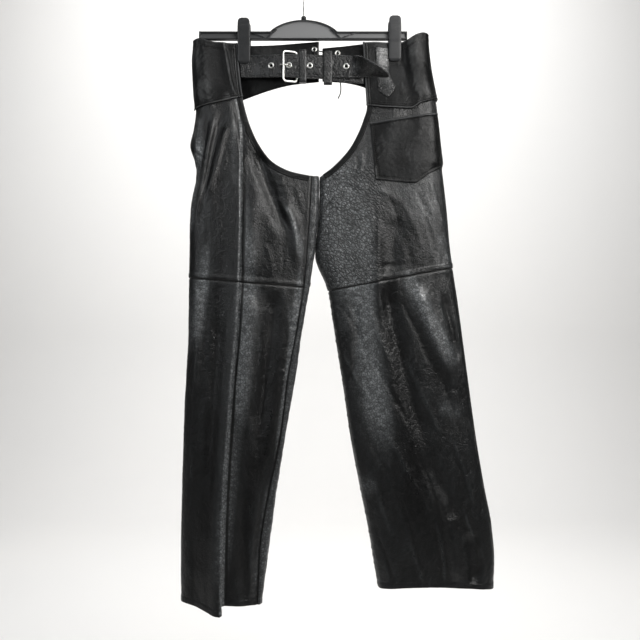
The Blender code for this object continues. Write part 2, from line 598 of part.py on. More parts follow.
def grid_normals(grid):
    """Direction backwards out of a grid whose columns run to the viewer's right."""
    down = np.gradient(grid, axis=0)
    across = np.gradient(grid, axis=1)
    n = np.cross(across, down)
    return n / np.linalg.norm(n, axis=-1, keepdims=True)


def wire(name, points, radius, finish_name, cyclic=False, sides=2):
    """Round wire along millimetre points, as a bevelled curve with closed ends."""
    curve = bpy.data.curves.new(name, "CURVE")
    curve.dimensions = "3D"
    curve.bevel_depth = radius * MM
    curve.bevel_resolution = sides
    curve.use_fill_caps = not cyclic
    spline = curve.splines.new("POLY")
    spline.points.add(len(points) - 1)
    spline.points.foreach_set("co", np.c_[np.asarray(points) * MM, np.ones(len(points))].ravel())
    spline.use_cyclic_u = cyclic
    spline.use_smooth = True
    curve.materials.append(finish(name + "_finish", *FINISHES[finish_name]))
    obj = bpy.data.objects.new(name, curve)
    bpy.context.collection.objects.link(obj)
    return obj


def smooth_run(points, parts):
    """Points on a smooth curve through the given ones, parts to each stretch."""
    points = np.asarray(points, float)
    ends = np.concatenate([[2 * points[0] - points[1]], points, [2 * points[-1] - points[-2]]])
    s = np.linspace(1, len(points), (len(points) - 1) * parts + 1)
    return through_knots(np.broadcast_to(ends, (len(s),) + ends.shape), s)


def lathe(name, profile, centre, axis, segments, finish_name):
    """Closed profile of (radius, height) pairs turned round an axis through centre."""
    axis = np.asarray(axis, float) / np.linalg.norm(axis)
    side = np.cross(axis, (0, 0, 1) if abs(axis[2]) < 0.9 else (1, 0, 0))
    side /= np.linalg.norm(side)
    other = np.cross(axis, side)
    profile = np.asarray(profile, float)
    turn = np.arange(segments) * 2 * math.pi / segments
    ring = np.cos(turn)[:, None] * side + np.sin(turn)[:, None] * other
    spread = ring[:, None] * profile[None, :, :1] + axis * profile[None, :, 1:]
    vertices = (np.asarray(centre) + spread).reshape(-1, 3)
    count = len(profile)
    faces = []
    for i in range(segments):
        for j in range(count):
            a, b = i * count, (i + 1) % segments * count
            faces.append((a + j, b + j, b + (j + 1) % count, a + (j + 1) % count))
    return add_object(name, vertices, faces, finish_name, 50.0)


def rod(name, centre, axis, radius, low, high, finish_name, segments=12):
    """Round solid along an axis through centre, between two heights."""
    axis = np.asarray(axis, float) / np.linalg.norm(axis)
    side = np.cross(axis, (0, 0, 1) if abs(axis[2]) < 0.9 else (1, 0, 0))
    side /= np.linalg.norm(side)
    other = np.cross(axis, side)
    turn = np.arange(segments)[:, None] * 2 * math.pi / segments
    ring = np.asarray(centre) + radius * (np.cos(turn) * side + np.sin(turn) * other)
    vertices = np.concatenate([ring + axis * low, ring + axis * high])
    faces = [tuple(range(segments)), tuple(range(2 * segments - 1, segments - 1, -1))]
    for i in range(segments):
        n = (i + 1) % segments
        faces.append((i, n, n + segments, i + segments))
    return add_object(name, vertices, faces, finish_name, 50.0)


def prism(name, outline, front, back, finish_name):
    """Solid between two copies of an outline of (x, drop) pairs, at two distances out."""
    outline = np.asarray(outline, float)
    count = len(outline)
    vertices = [(x, -out, -drop) for out in (front, back) for x, drop in outline]
    faces = [tuple(range(count)), tuple(range(2 * count - 1, count - 1, -1))]
    faces += [(i, i + count, (i + 1) % count + count, (i + 1) % count) for i in range(count)]
    return add_object(name, vertices, faces, finish_name, 25.0)


def cut(obj, cutter):
    """Take the cutter's shape out of the object."""
    cutter.hide_render = True
    cutter.display_type = "WIRE"
    modifier = obj.modifiers.new(cutter.name, "BOOLEAN")
    modifier.operation = "DIFFERENCE"
    modifier.object = cutter


def build_legs(right_front, right_back, left_front, left_back):
    half = SEAM / 2
    right_across = [1, 2, 3, 3.5, 4, 4.5, 5, 6, 7, 8, 9, 10, 11, 12, 13] + steps(13, 8, 17)[1:]
    right_round = steps(4, 2, 6, 3, 9, 3, 12)
    left_across = steps(1, 2, 3, 3, 4.5, 3, 6, 3, 7.5, 3, 9, 2, 11)
    left_round = steps(1, 2, 3, 5, 8, 2, 10)
    thigh_right = steps(RIGHT_YOKE_ROW - LAP, 1, RIGHT_YOKE_ROW, 8, RIGHT_CROTCH_ROW - 1, 1,
                        RIGHT_CROTCH_ROW, 6, RIGHT_SEAM_ROW)
    shin_right = steps(RIGHT_SEAM_ROW, 12, len(RIGHT["outer"]) - 1)
    thigh_left = steps(LEFT_YOKE_ROW - LAP, 1, LEFT_YOKE_ROW, 8, LEFT_CROTCH_ROW - 1, 1,
                       LEFT_CROTCH_ROW, 6, LEFT_SEAM_ROW)
    shin_left = steps(LEFT_SEAM_ROW, 12, len(LEFT["outer"]) - 1)
    both = (half, half)
    for side, front, back, across, around, thigh, shin in (
            ("right", right_front, right_back, right_across, right_round, thigh_right, shin_right),
            ("left", left_front, left_back, left_across, left_round, thigh_left, shin_left)):
        panel_wall("thigh_front_" + side, front, across, thigh, (0, half), both)
        panel_wall("shin_front_" + side, front, across, shin, (half, 0), both)
        panel_wall("thigh_back_" + side, back, around, thigh, (0, half), both)
        panel_wall("shin_back_" + side, back, around, shin, (half, 0), both)
    band_rows = steps(RIGHT_CROTCH_ROW, 6, RIGHT_SEAM_ROW) + shin_right[1:]
    panel_wall("inseam_band_right", right_back, steps(1, 3, 4), band_rows, (0, 0), both)


def edge_strip(name, panel, first_row, last_row, turn):
    """Strip along a front opening: turn is the side of the edge that the panel lies on."""
    v = np.linspace(first_row, last_row, 15)
    edge = panel.points(np.full(len(v), panel.last), v)
    run = np.gradient(edge[:, [0, 2]], axis=0)
    run /= np.linalg.norm(run, axis=1, keepdims=True)
    inwards = turn * np.stack([run[:, 1], -run[:, 0]], axis=1)
    offsets = np.array([0.4, 0.35 * EDGE_STRIP, 0.7 * EDGE_STRIP, EDGE_STRIP])
    x = edge[:, None, 0] + inwards[:, None, 0] * offsets
    z = edge[:, None, 2] + inwards[:, None, 1] * offsets
    s, v = panel.locate(x, -z, panel.last - 0.5, v[:, None])
    grid_wall(name, panel, s, v, TRIM + STRIP_UNDER, TRIM, "smooth")


def build_yokes(right_front, left_front):
    half = SEAM / 2
    across = np.array(steps(1, 2, 3, 4, 5, 1, 6, 2, 13, 2, 17))
    low = np.full(len(across), float(RIGHT_YOKE_ROW))
    top = right_front.level(across, 0.0 * across,
                            lambda x: along(YOKE_TOP_RIGHT["x"], YOKE_TOP_RIGHT["drop"], x))
    yoke_grid("yoke_right", right_front, across, top, low, half)
    across = np.array(steps(1, 2, 3, 3, 4.5, 3, 6, 3, 7.5, 3, 9, 2, 11))
    top = left_front.level(across, 0.0 * across,
                           lambda x: along(YOKE_TOP_LEFT["x"], YOKE_TOP_LEFT["drop"], x))
    low = left_front.level(across, 0.0 * across + LEFT_YOKE_ROW,
                           lambda x: along(YOKE_BOTTOM_LEFT["x"], YOKE_BOTTOM_LEFT["drop"], x))
    yoke_grid("yoke_left", left_front, across, top, low, half)


def yoke_grid(name, panel, across, top, low, half):
    # a row of points lies level with the clips' lower ends, where the wall turns out
    v = np.concatenate([mix(top, 1.0, np.linspace(0, 1, 4)[:, None]),
                        mix(1.0, low, np.linspace(0, 1, 6)[1:, None])])
    s = np.broadcast_to(across, v.shape)
    grid_wall(name, panel, s, v, ON_TOP, WALL, "smooth", cols=(half, 0))


def build_back_yoke(name, table, leg, side, rows=7):
    """Waist at the back on one side: from the side seam round to the laced edge."""
    down = np.linspace(0, 1, rows)[:, None]
    places = np.arange(2 * len(table["x"]) - 1) / 2
    xs, upper, lower, top, bottom = (glide(table[k], places)
                                     for k in ("x", "behind", "low", "top", "bottom"))
    drop = mix(top, bottom, down)
    begin, length = BACK_DEEPENS
    behind = mix(upper, lower, ease((drop - begin) / length))
    grid = np.stack([np.broadcast_to(xs, drop.shape), behind, -drop], axis=-1)
    corner = grid[:, 0] if side < 0 else grid[:, -1]
    outer = along(leg["outer_drop"][:5], leg["outer"][:5], -corner[:, 2])
    turns = []
    for beyond, share in ((ON_TOP, 0.0), (ON_TOP - 0.7, 0.5), (-1.5, 0.86)):
        behind_edge = share * corner[:, 1] + SEAM / 2
        turns.append(np.stack([outer + side * beyond, behind_edge, corner[:, 2]], axis=-1))
    if side > 0:
        outer_face = np.concatenate([grid, np.stack(turns[::-1], axis=1)], axis=1)
    else:
        outer_face = np.concatenate([np.stack(turns, axis=1), grid], axis=1)
    normals = grid_normals(outer_face)
    normals[:, 0 if side < 0 else -1] = (side, 0, 0)
    return free_wall(name, outer_face, normals, WALL, "smooth")


def build_pocket(panel):
    down = np.linspace(0, 1, 7)
    inner_drop = mix(POCKET_INNER["drop"][0], POCKET_INNER["drop"][-1], down)
    inner_x = along(POCKET_INNER["drop"], POCKET_INNER["x"], inner_drop)
    s_inner, v_inner = panel.locate(inner_x, inner_drop, 9.0, 6.0)
    s = mix(s_inner[:, None], 3.0, np.linspace(0, 1, 9))
    s = np.concatenate([s, np.full((len(down), 2), (2.6, 2.25))], axis=1)

    def drop_at(x):
        top = along(POCKET_TOP["x"], POCKET_TOP["drop"], x)
        bottom = along(POCKET_BOTTOM["x"], POCKET_BOTTOM["drop"], x)
        return mix(top, bottom, down[:, None])

    v = panel.level(s, np.broadcast_to(v_inner[:, None], s.shape), drop_at)
    grid_wall("pocket", panel, s, v, TRIM + STRIP_UNDER, TRIM, "smooth")


def build_tab(panel):
    across = np.linspace(0, 1, 3)
    x = mix(TAB["left"][:, None], TAB["right"][:, None], across)
    drop = np.broadcast_to(TAB["drop"][:, None], x.shape)
    s, v = panel.locate(x, drop, 7.0, 1.5)
    grid_wall("tab", panel, s, v, ON_TOP + UNDER + TRIM, TRIM, "belt")


def ribbon(centre, width, half_width):
    """Grid of a strap: its middle line, the unit direction across it and its half width."""
    across = np.linspace(-1, 1, 5)
    return centre[:, None] + width[:, None] * (half_width[:, None] * across)[..., None]


def billet_frame(x):
    """Middle, direction across and outward normal of the billet at each x."""
    t = BILLET
    drop, out, half, roll = (along(t["x"], t[k], x) for k in ("drop", "out", "half_width", "roll"))
    centre = np.stack([x, -out, -drop], axis=-1)
    near = 0.5

    def middle(x):
        return np.stack([x, -along(t["x"], t["out"], x), -along(t["x"], t["drop"], x)], axis=-1)

    run = middle(x + near) - middle(x - near)
    run /= np.linalg.norm(run, axis=-1, keepdims=True)
    roll = np.radians(roll)
    width = np.stack([0 * x, np.sin(roll), -np.cos(roll)], axis=-1)
    width -= (width * run).sum(-1, keepdims=True) * run
    width /= np.linalg.norm(width, axis=-1, keepdims=True)
    return centre, width, np.cross(width, run), half


def build_belt():
    x = np.array(steps(BILLET["x"][0], 2, -96, 4, -36, 4, 50, 3, 72, 5, 112, 5, BILLET["x"][-1]))
    centre, width, normal, half = billet_frame(x)
    grid = ribbon(centre, width, half)
    grid[0, :, 0] += BELT_START_SLANT * np.linspace(-1, 1, grid.shape[1])
    billet = free_wall("belt_billet", grid, np.broadcast_to(normal[:, None], grid.shape), STRAP, "belt")
    profile = ((2.9, -STRAP), (3.2, -STRAP), (3.2, SEAM), (5.4, SEAM), (4.6, 0.95), (2.9, 0.8))
    for i, place in enumerate(EYELETS_X):
        middle, _, out, _ = (a[0] for a in billet_frame(np.array([place])))
        cut(billet, rod("hole_%d" % i, middle, out, EYELET_HOLE, -CUT_REACH, CUT_REACH, "belt"))
        lathe("belt_eyelet_%d" % (i + 1), profile, middle, out, 12, "nickel")


def build_buckle():
    t = BUCKLE_STRAP
    centre = np.stack([t["x"], -t["out"], -t["drop"]], axis=-1)
    run = np.gradient(centre, axis=0)
    width = np.broadcast_to(np.array([0.0, 0.0, -1.0]), centre.shape)
    normal = np.cross(run, width)
    normal /= np.linalg.norm(normal, axis=-1, keepdims=True)
    grid = ribbon(centre, width, np.full(len(centre), STRAP_HALF_WIDTH))[:, ::2]
    normals = np.broadcast_to(normal[:, None], grid.shape)
    strap = free_wall("buckle_strap", grid, normals, BUCKLE_STRAP_WALL, "belt")
    slot = [(-18, PRONG_DROP - PRONG_SLOT), (-6.5, PRONG_DROP - PRONG_SLOT),
            (-6.5, PRONG_DROP + PRONG_SLOT), (-18, PRONG_DROP + PRONG_SLOT)]
    cut(strap, prism("slot", slot, 12, -3, "belt"))
    corners = []
    for side_x, side_z, start in ((-1, 1, 180), (1, 1, 90), (1, -1, 0), (-1, -1, -90)):
        for k in range(4):
            angle = math.radians(start - k * 30)
            middle = 0.5 * (BUCKLE_LEFT + BUCKLE_RIGHT)
            reach = 0.5 * (BUCKLE_RIGHT - BUCKLE_LEFT) - BUCKLE_CORNER
            x = middle + side_x * reach + BUCKLE_CORNER * math.cos(angle)
            rise = side_z * (BUCKLE_HALF_HEIGHT - BUCKLE_CORNER) + BUCKLE_CORNER * math.sin(angle)
            z = rise - BUCKLE_DROP
            share = (x - BUCKLE_LEFT) / (BUCKLE_RIGHT - BUCKLE_LEFT)
            corners.append((x, -mix(BUCKLE_LEFT_OUT, BUCKLE_RIGHT_OUT, share), z))
    wire("buckle_frame", corners, BUCKLE_WIRE, "nickel", cyclic=True)
    path = np.stack([PRONG["x"], -PRONG["out"], np.full(len(PRONG["x"]), -PRONG_DROP)], axis=-1)
    wire("buckle_prong", path, PRONG_WIRE, "nickel")


def rounded_loop(front, back, top, bottom, radius, parts=3):
    """Points of a rounded rectangle: distance out and drop."""
    points = []
    for out, drop, start in ((front - radius, top + radius, 0), (back + radius, top + radius, 90),
                             (back + radius, bottom - radius, 180), (front - radius, bottom - radius, 270)):
        for k in range(parts + 1):
            angle = math.radians(start + 90 * k / parts)
            points.append((out + radius * math.cos(angle), drop - radius * math.sin(angle)))
    return np.array(points)


def build_keepers():
    t = KEEPERS
    for i in range(len(t["start"])):
        inside = rounded_loop(t["front"][i], t["back"][i], t["top"][i], t["bottom"][i], 2.0)
        outside = rounded_loop(t["front"][i] + TRIM, t["back"][i] - TRIM, t["top"][i] - TRIM,
                               t["bottom"][i] + TRIM, 2.0 + TRIM)
        ring = np.array([(x, -out, -drop) for loop, x in (
            (outside, t["start"][i]), (outside, t["end"][i]), (inside, t["end"][i]), (inside, t["start"][i]))
            for out, drop in loop]).reshape(4, -1, 3)
        count = ring.shape[1]
        faces = []
        for a in range(4):
            for k in range(count):
                b, n = (a + 1) % 4, (k + 1) % count
                faces.append((a * count + k, a * count + n, b * count + n, b * count + k))
        add_object("keeper_%d" % (i + 1), ring.reshape(-1, 3), faces, "belt")


def build_lacing(back_right, back_left):
    profile = ((2.6, -2.1), (2.9, -2.1), (2.9, SEAM), (4.8, SEAM), (2.6, 0.9))
    for i, (x, drop) in enumerate(zip(LACE_EYELETS["x"], LACE_EYELETS["drop"])):
        yoke, table = (back_right, BACK_WAIST_RIGHT) if x < 30 else (back_left, BACK_WAIST_LEFT)
        centre = (x, along(table["x"], table["behind"], np.array([x]))[0] - WALL, -drop)
        cut(yoke, rod("lace_hole_%d" % i, centre, (0, -1, 0), LACE_HOLE, -CUT_REACH, CUT_REACH, "lace"))
        lathe("lace_eyelet_%d" % (i + 1), profile, centre, (0, -1, 0), 10, "nickel")
    wire("lace", np.stack([LACE["x"], LACE["behind"], -LACE["drop"]], axis=-1), LACE_RADIUS, "lace")


def build_hanger():
    arch = [(ARCH_HALF * math.cos(math.radians(a)),
             BAR_TOP - (BAR_TOP - ARCH_TOP) * math.sin(math.radians(a)) ** 1.6) for a in range(180, -1, -15)]
    outline = [(BAR_LEFT, BAR_BOTTOM), (BAR_LEFT, BAR_TOP)] + arch
    outline += [(BAR_RIGHT, BAR_TOP), (BAR_RIGHT, BAR_BOTTOM)]
    body = prism("hanger_body", outline, BAR_HALF_DEPTH, -BAR_HALF_DEPTH, "plastic")
    low, high = BAR_BOTTOM - RIM, BAR_TOP + RIM
    moon = [(MOON_SHARE * x, top + RIM + 1.5) for x, top in arch[1:-1]]
    cells = [[(BAR_LEFT + RIM, low), (BAR_LEFT + RIM, high), (-CELL_END, high), (-CELL_END, low)],
             [(MOON_SHARE * ARCH_HALF, low), (-MOON_SHARE * ARCH_HALF, low)] + moon,
             [(CELL_END, low), (CELL_END, high), (BAR_RIGHT - RIM, high), (BAR_RIGHT - RIM, low)]]
    beyond = BAR_HALF_DEPTH + 1
    for i, cell in enumerate(cells):
        cut(body, prism("cell_front_%d" % i, cell, beyond, WEB_HALF_DEPTH, "plastic"))
        cut(body, prism("cell_back_%d" % i, cell, -WEB_HALF_DEPTH, -beyond, "plastic"))
    rod("hanger_collar", (0, 0, 0), (0, 0, 1), COLLAR_RADIUS, SEAM - ARCH_TOP, -COLLAR_TOP, "plastic")
    middle = HOOK_RADIUS - HOOK_WIRE
    bend = [(HOOK_RADIUS * math.cos(a), middle - HOOK_RADIUS * math.sin(a))
            for a in np.radians(np.arange(HOOK_START, HOOK_END, 16))]
    path = smooth_run([(x, 0, -d) for x, d in list(zip(HOOK_STEM["x"], HOOK_STEM["drop"])) + bend], 1)
    wire("hanger_hook", path, HOOK_WIRE, "nickel")


def build_clips():
    across = np.array([-1, -0.72, 0, 0.72, 1])
    crown = np.array([1.6, 0.35, 0, 0.35, 1.6])
    for name, middle, top in CLIPS:
        for side, sign in (("front", 1), ("back", -1)):
            x = middle + JAW["half"][:, None] * across
            drop = np.broadcast_to(top + JAW["down"][:, None], x.shape)
            outer = np.stack([x, -sign * (JAW["outer"][:, None] - crown), -drop], axis=-1)
            inner = np.stack([x, np.broadcast_to(-sign * JAW["inner"][:, None], x.shape), -drop], axis=-1)
            wall("%s_%s_jaw" % (name, side), outer, inner, "plastic")
        half, depth, upper, lower = CLIP_BRIDGE
        box = [(middle - half, top + upper), (middle + half, top + upper), (middle + half, top + lower),
               (middle - half, top + lower)]
        prism(name + "_bridge", box, depth, -depth, "plastic")


def build():
    clear_scene()
    front, back = right_nets()
    right_front = Panel(front, RIGHT_FRONT_FOLDS, -1, True, RIGHT_CROTCH_ROW)
    right_back = Panel(back, RIGHT_BACK_FOLDS, -1, False, RIGHT_CROTCH_ROW)
    front, back = left_nets()
    left_front = Panel(front, LEFT_FRONT_FOLDS, 1, True, LEFT_CROTCH_ROW)
    left_back = Panel(back, LEFT_BACK_FOLDS, 1, False, LEFT_CROTCH_ROW)
    build_legs(right_front, right_back, left_front, left_back)
    edge_strip("edge_strip_right", right_front, RIGHT_YOKE_ROW + 0.02, RIGHT_CROTCH_ROW - 0.1, 1)
    edge_strip("edge_strip_left", left_front, LEFT_YOKE_ROW + 0.02, LEFT_CROTCH_ROW - 0.4, -1)
    build_yokes(right_front, left_front)
    back_right = build_back_yoke("back_yoke_right", BACK_WAIST_RIGHT, RIGHT, -1)
    back_left = build_back_yoke("back_yoke_left", BACK_WAIST_LEFT, LEFT, 1)
    build_pocket(left_front)
    build_tab(left_front)
    build_belt()
    build_buckle()
    build_keepers()
    build_lacing(back_right, back_left)
    build_hanger()
    build_clips()


build()
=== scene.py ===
import math

import bpy
import numpy as np
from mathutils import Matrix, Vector


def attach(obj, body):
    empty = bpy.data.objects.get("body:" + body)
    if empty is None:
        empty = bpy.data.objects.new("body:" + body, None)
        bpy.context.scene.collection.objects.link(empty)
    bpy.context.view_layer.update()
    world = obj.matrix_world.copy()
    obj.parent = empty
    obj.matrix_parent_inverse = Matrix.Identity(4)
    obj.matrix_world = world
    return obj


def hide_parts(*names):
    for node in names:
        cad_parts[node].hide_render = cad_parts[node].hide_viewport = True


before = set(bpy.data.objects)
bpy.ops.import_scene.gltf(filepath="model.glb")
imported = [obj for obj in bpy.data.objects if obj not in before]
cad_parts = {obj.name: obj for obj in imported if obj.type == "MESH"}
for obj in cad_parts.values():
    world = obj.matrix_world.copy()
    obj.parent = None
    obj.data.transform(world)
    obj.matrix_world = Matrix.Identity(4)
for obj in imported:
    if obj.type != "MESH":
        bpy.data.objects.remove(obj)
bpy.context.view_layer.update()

# Leather chaps on a clip hanger. Shapes are worked out in millimetres: x runs to the
# viewer's right, "drop" is the way down from the hook's inner top and "out" the way to
# the front. The wearer's right leg lies at negative x.
mm = 0.001
print("frame loaded with", len(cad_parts), "solids")

cameraSet = {"x": 29.34, "drop": 630.0, "away": 1400.0, "fieldWidth": 1152.0, "filmWidth": 36.0}


def newObject(name, data):
    made = bpy.data.objects.new(name, data)
    bpy.context.collection.objects.link(made)
    return made


def setCamera(c):
    data = bpy.data.cameras.new("frontCamera")
    data.sensor_width = c["filmWidth"]
    data.lens = c["filmWidth"] * c["away"] / c["fieldWidth"]
    camera = newObject("frontCamera", data)
    camera.location = (c["x"] * mm, -c["away"] * mm, -c["drop"] * mm)
    camera.rotation_euler = (math.pi / 2, 0, 0)
    bpy.context.scene.camera = camera
    bpy.context.scene.view_settings.view_transform = "Standard"


setCamera(cameraSet)
print("camera set")


def tableOf(names, rows):
    # a table with named columns: each name gives one array, a number for each row
    grid = np.array(rows, float)
    return {name: grid[:, i] for i, name in enumerate(names.split())}


def mix(a, b, amount):
    return a + (b - a) * amount


def ease(x):
    x = np.clip(x, 0.0, 1.0)
    return x * x * (3 - 2 * x)


def bell(x, width):
    return np.exp(-(x / width) ** 2)


def unit(vectors):
    return vectors / np.maximum(np.linalg.norm(vectors, axis=-1, keepdims=True), 1e-9)


def runLength(path, axis=0):
    # the length gone at each point of a path, or of each line of a grid along this axis
    gone = np.linalg.norm(np.diff(path, axis=axis), axis=-1)
    return np.concatenate([0 * gone.take([0], axis), np.cumsum(gone, axis=axis)], axis=axis)


def hermite(start, end, leanStart, leanEnd, t):
    # cubic between two values, with its slope at both
    return (start * (1 + 2 * t) * (1 - t) ** 2 + end * t * t * (3 - 2 * t)
            + leanStart * t * (1 - t) ** 2 + leanEnd * t * t * (t - 1))


def slopes(values):
    # slope at each row of values: level where the rows turn back
    step = np.diff(values, axis=0)
    before, after = step[:-1], step[1:]
    same = before * after > 0
    middle = np.where(same, 2 * before * after / np.where(same, before + after, 1.0), 0.0)
    return np.concatenate([step[:1], middle, step[-1:]])


def glide(values, at, slopeIn=None, slopeOut=None):
    # smooth curve through the rows of values, read at the row numbers in at
    values = np.asarray(values, float)
    at = np.asarray(at, float)
    if slopeIn is None:
        slopeIn = slopeOut = slopes(values)
    i = np.clip(np.floor(at).astype(int), 0, len(values) - 2)
    t = (at - i).reshape(at.shape + (1,) * (values.ndim - 1))
    return hermite(values[i], values[i + 1], slopeOut[i], slopeIn[i + 1], t)


def along(keys, values, at):
    # monotone cubic of values over uneven, rising keys
    return glide(values, np.interp(at, keys, np.arange(len(keys))))


def throughKnots(knots, s):
    # smooth curve through knots (..., K, 3) at s (...): knot 0 and the last one only steer
    chord = np.diff(knots, axis=-2)
    length = np.linalg.norm(chord, axis=-1, keepdims=True) + 1e-6
    speed = chord / length
    before, after = length[..., :-1, :], length[..., 1:, :]
    lean = (speed[..., :-1, :] * after + speed[..., 1:, :] * before) / (before + after)
    i = np.clip(np.floor(s).astype(int), 1, knots.shape[-2] - 3)

    def pick(values, index):
        return np.take_along_axis(values, index[..., None, None], axis=-2)[..., 0, :]

    span = pick(length, i)
    return hermite(pick(knots, i), pick(knots, i + 1), pick(lean, i - 1) * span, pick(lean, i) * span,
                   (s - i)[..., None])


def smoothRun(points, parts):
    # points on a smooth curve through the given ones, parts to each stretch
    points = np.asarray(points, float)
    ends = np.concatenate([[2 * points[0] - points[1]], points, [2 * points[-1] - points[-2]]])
    s = np.linspace(1, len(points), (len(points) - 1) * parts + 1)
    return throughKnots(np.broadcast_to(ends, (len(s),) + ends.shape), s)


# Route of the lace through the back eyelets, from its long free end to its short one.
laceRoute = tableOf("x drop behind", (
    (62, 230, 5.2), (66, 221, 5), (67, 212, 4.8), (66, 202, 4.8), (63, 194, 4.6), (61.4, 190.2, 4.9),
    (61, 188.3, 6.7), (61, 188, 9.4), (59.6, 187.1, 11.8), (50, 180.7, 12.6), (35, 170.7, 12.9),
    (24, 163.3, 12.9), (20.2, 160.8, 12.2), (19, 160, 10), (19, 159.8, 7.2), (19, 157.6, 5.1),
    (19, 150, 4.9), (19, 142.4, 5.1), (19, 140.2, 7.2), (19, 140, 10), (20.4, 140.2, 12.2),
    (30, 142, 12.9), (50, 145.2, 12.6), (59.6, 146.8, 11.8), (61, 147, 9.4), (61, 147.3, 6.7),
    (61, 149.4, 4.6), (61, 157, 4.4), (61, 164.6, 4.6), (61, 166.7, 6.7), (61, 167, 9.4),
    (59.6, 167.4, 12), (51, 170.1, 15.2), (39.5, 173.6, 16.4), (28, 177.2, 15.4), (20.4, 179.6, 12.6),
    (19, 180, 10), (19, 180.2, 7.2), (19, 182.4, 5.1), (18.6, 188, 4.9), (18, 194, 5)))
laceSet = {"radius": 1.1, "parts": 4}


def makeLace(c):
    # one smooth curve through the route, whose radius is set at each point
    knots = np.stack([laceRoute["x"], laceRoute["behind"], -laceRoute["drop"]], axis=-1)
    places = smoothRun(knots, c["parts"]) * mm
    curve = bpy.data.curves.new("laceThong", "CURVE")
    curve.dimensions = "3D"
    curve.bevel_depth = 1.0
    curve.bevel_resolution = 3
    curve.use_fill_caps = True
    spline = curve.splines.new("POLY")
    spline.points.add(len(places) - 1)
    spline.points.foreach_set("co", np.c_[places, np.ones(len(places))].ravel())
    spline.points.foreach_set("radius", np.full(len(places), c["radius"] * mm))
    spline.use_smooth = True
    thong = newObject("laceThong", curve)
    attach(thong, "root")
    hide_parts("lace")
    length = float(runLength(places)[-1])
    tuple(places[0])
    print("lace laid, %.3f m" % length)
    return thong


laceThong = makeLace(laceSet)


def feed(tree, node, values):
    # each value is a number, a colour or another node's output
    for key, value in values.items():
        if isinstance(value, bpy.types.NodeSocket):
            tree.links.new(value, node.inputs[key])
        else:
            node.inputs[key].default_value = value


def addNode(tree, kind, inputs=None, **settings):
    made = tree.nodes.new("ShaderNode" + kind)
    for key, value in settings.items():
        setattr(made, key, value)
    feed(tree, made, inputs or {})
    return made.outputs


def maths(tree, operation, a, b=0.0):
    return addNode(tree, "Math", {0: a, 1: b}, operation=operation)[0]


def times(tree, a, b):
    return maths(tree, "MULTIPLY", a, b)


def vectors(tree, operation, a, b):
    return addNode(tree, "VectorMath", {0: a, 3 if operation == "SCALE" else 1: b}, operation=operation)[0]


def summed(tree, parts, total=0.0):
    # the total and each part's value times its share
    for value, share in parts:
        total = maths(tree, "ADD", total, times(tree, value, share))
    return total


def mapped(tree, value, low, high, toLow=0.0, toHigh=1.0):
    return addNode(tree, "MapRange", {0: value, 1: low, 2: high, 3: toLow, 4: toHigh}, clamp=True)[0]


def noise(tree, place, scale, detail=2.0, rough=0.5, bend=0.0):
    return addNode(tree, "TexNoise", {"Vector": place, "Scale": scale, "Detail": detail, "Roughness": rough,
                                      "Distortion": bend})


def cells(tree, place, scale, feature="DISTANCE_TO_EDGE", spread=1.0):
    given = {"Vector": place, "Scale": scale, "Randomness": spread}
    return addNode(tree, "TexVoronoi", given, feature=feature)


def layered(tree, colour, layers):
    # each layer's colour laid over the ones before it by its amount times its share
    for amount, share, over in layers:
        by = amount if share == 1 else times(tree, amount, share)
        colour = colour if isinstance(colour, bpy.types.NodeSocket) else (*colour, 1)
        colour = addNode(tree, "Mix", {0: by, 6: colour, 7: (*over, 1)}, data_type="RGBA")[2]
    return colour


def newGroup(name, numbers, make):
    # a group that takes a place and these numbers, and gives what make returns
    tree = bpy.data.node_groups.new(name, "ShaderNodeTree")
    tree.interface.new_socket(name="Vector", in_out="INPUT", socket_type="NodeSocketVector")
    for key, value in numbers.items():
        socket = tree.interface.new_socket(name=key, in_out="INPUT", socket_type="NodeSocketFloat")
        socket.default_value = value
    made = make(tree, tree.nodes.new("NodeGroupInput").outputs)
    for key in made:
        tree.interface.new_socket(name=key, in_out="OUTPUT", socket_type="NodeSocketFloat")
    feed(tree, tree.nodes.new("NodeGroupOutput"), made)
    return tree


def grainNet(tree, given):
    # pebbles of two sizes: a cell's height rises from its edge, on a slightly bent space
    bend = vectors(tree, "SUBTRACT", noise(tree, given["Vector"], 160.0)["Color"], (0.5, 0.5, 0.5))
    place = vectors(tree, "ADD", given["Vector"], vectors(tree, "SCALE", bend, 0.0022))
    wide = times(tree, given["Pebble"], 0.36)
    fineHeight = mapped(tree, cells(tree, place, given["Pebble"])["Distance"], 0.0, 0.28)
    coarseHeight = mapped(tree, cells(tree, place, wide)["Distance"], 0.0, 0.20)
    height = addNode(tree, "Mix", {0: given["Coarse"], 2: fineHeight, 3: coarseHeight}, data_type="FLOAT")
    tone = addNode(tree, "SeparateColor", {0: cells(tree, place, wide, "F1")["Color"]})
    return {"Height": height[0], "Cell": tone[0]}


def creaseNet(tree, given):
    # thin branching lines of two sizes: noise folded at its middle
    lines = []
    for share, offset in ((1.0, 0.0), (2.3, 3.1)):
        moved = vectors(tree, "ADD", given["Vector"], (offset, offset, offset))
        wave = noise(tree, moved, times(tree, given["Size"], share), 3.0, 0.5, given["Bend"])["Fac"]
        lines.append(mapped(tree, maths(tree, "ABSOLUTE", maths(tree, "SUBTRACT", wave, 0.5)), 0.0, 0.10))
    both = times(tree, lines[0], mapped(tree, lines[1], 0.0, 1.0, 0.55, 1.0))
    return {"Height": both, "Line": maths(tree, "SUBTRACT", 1.0, both)}


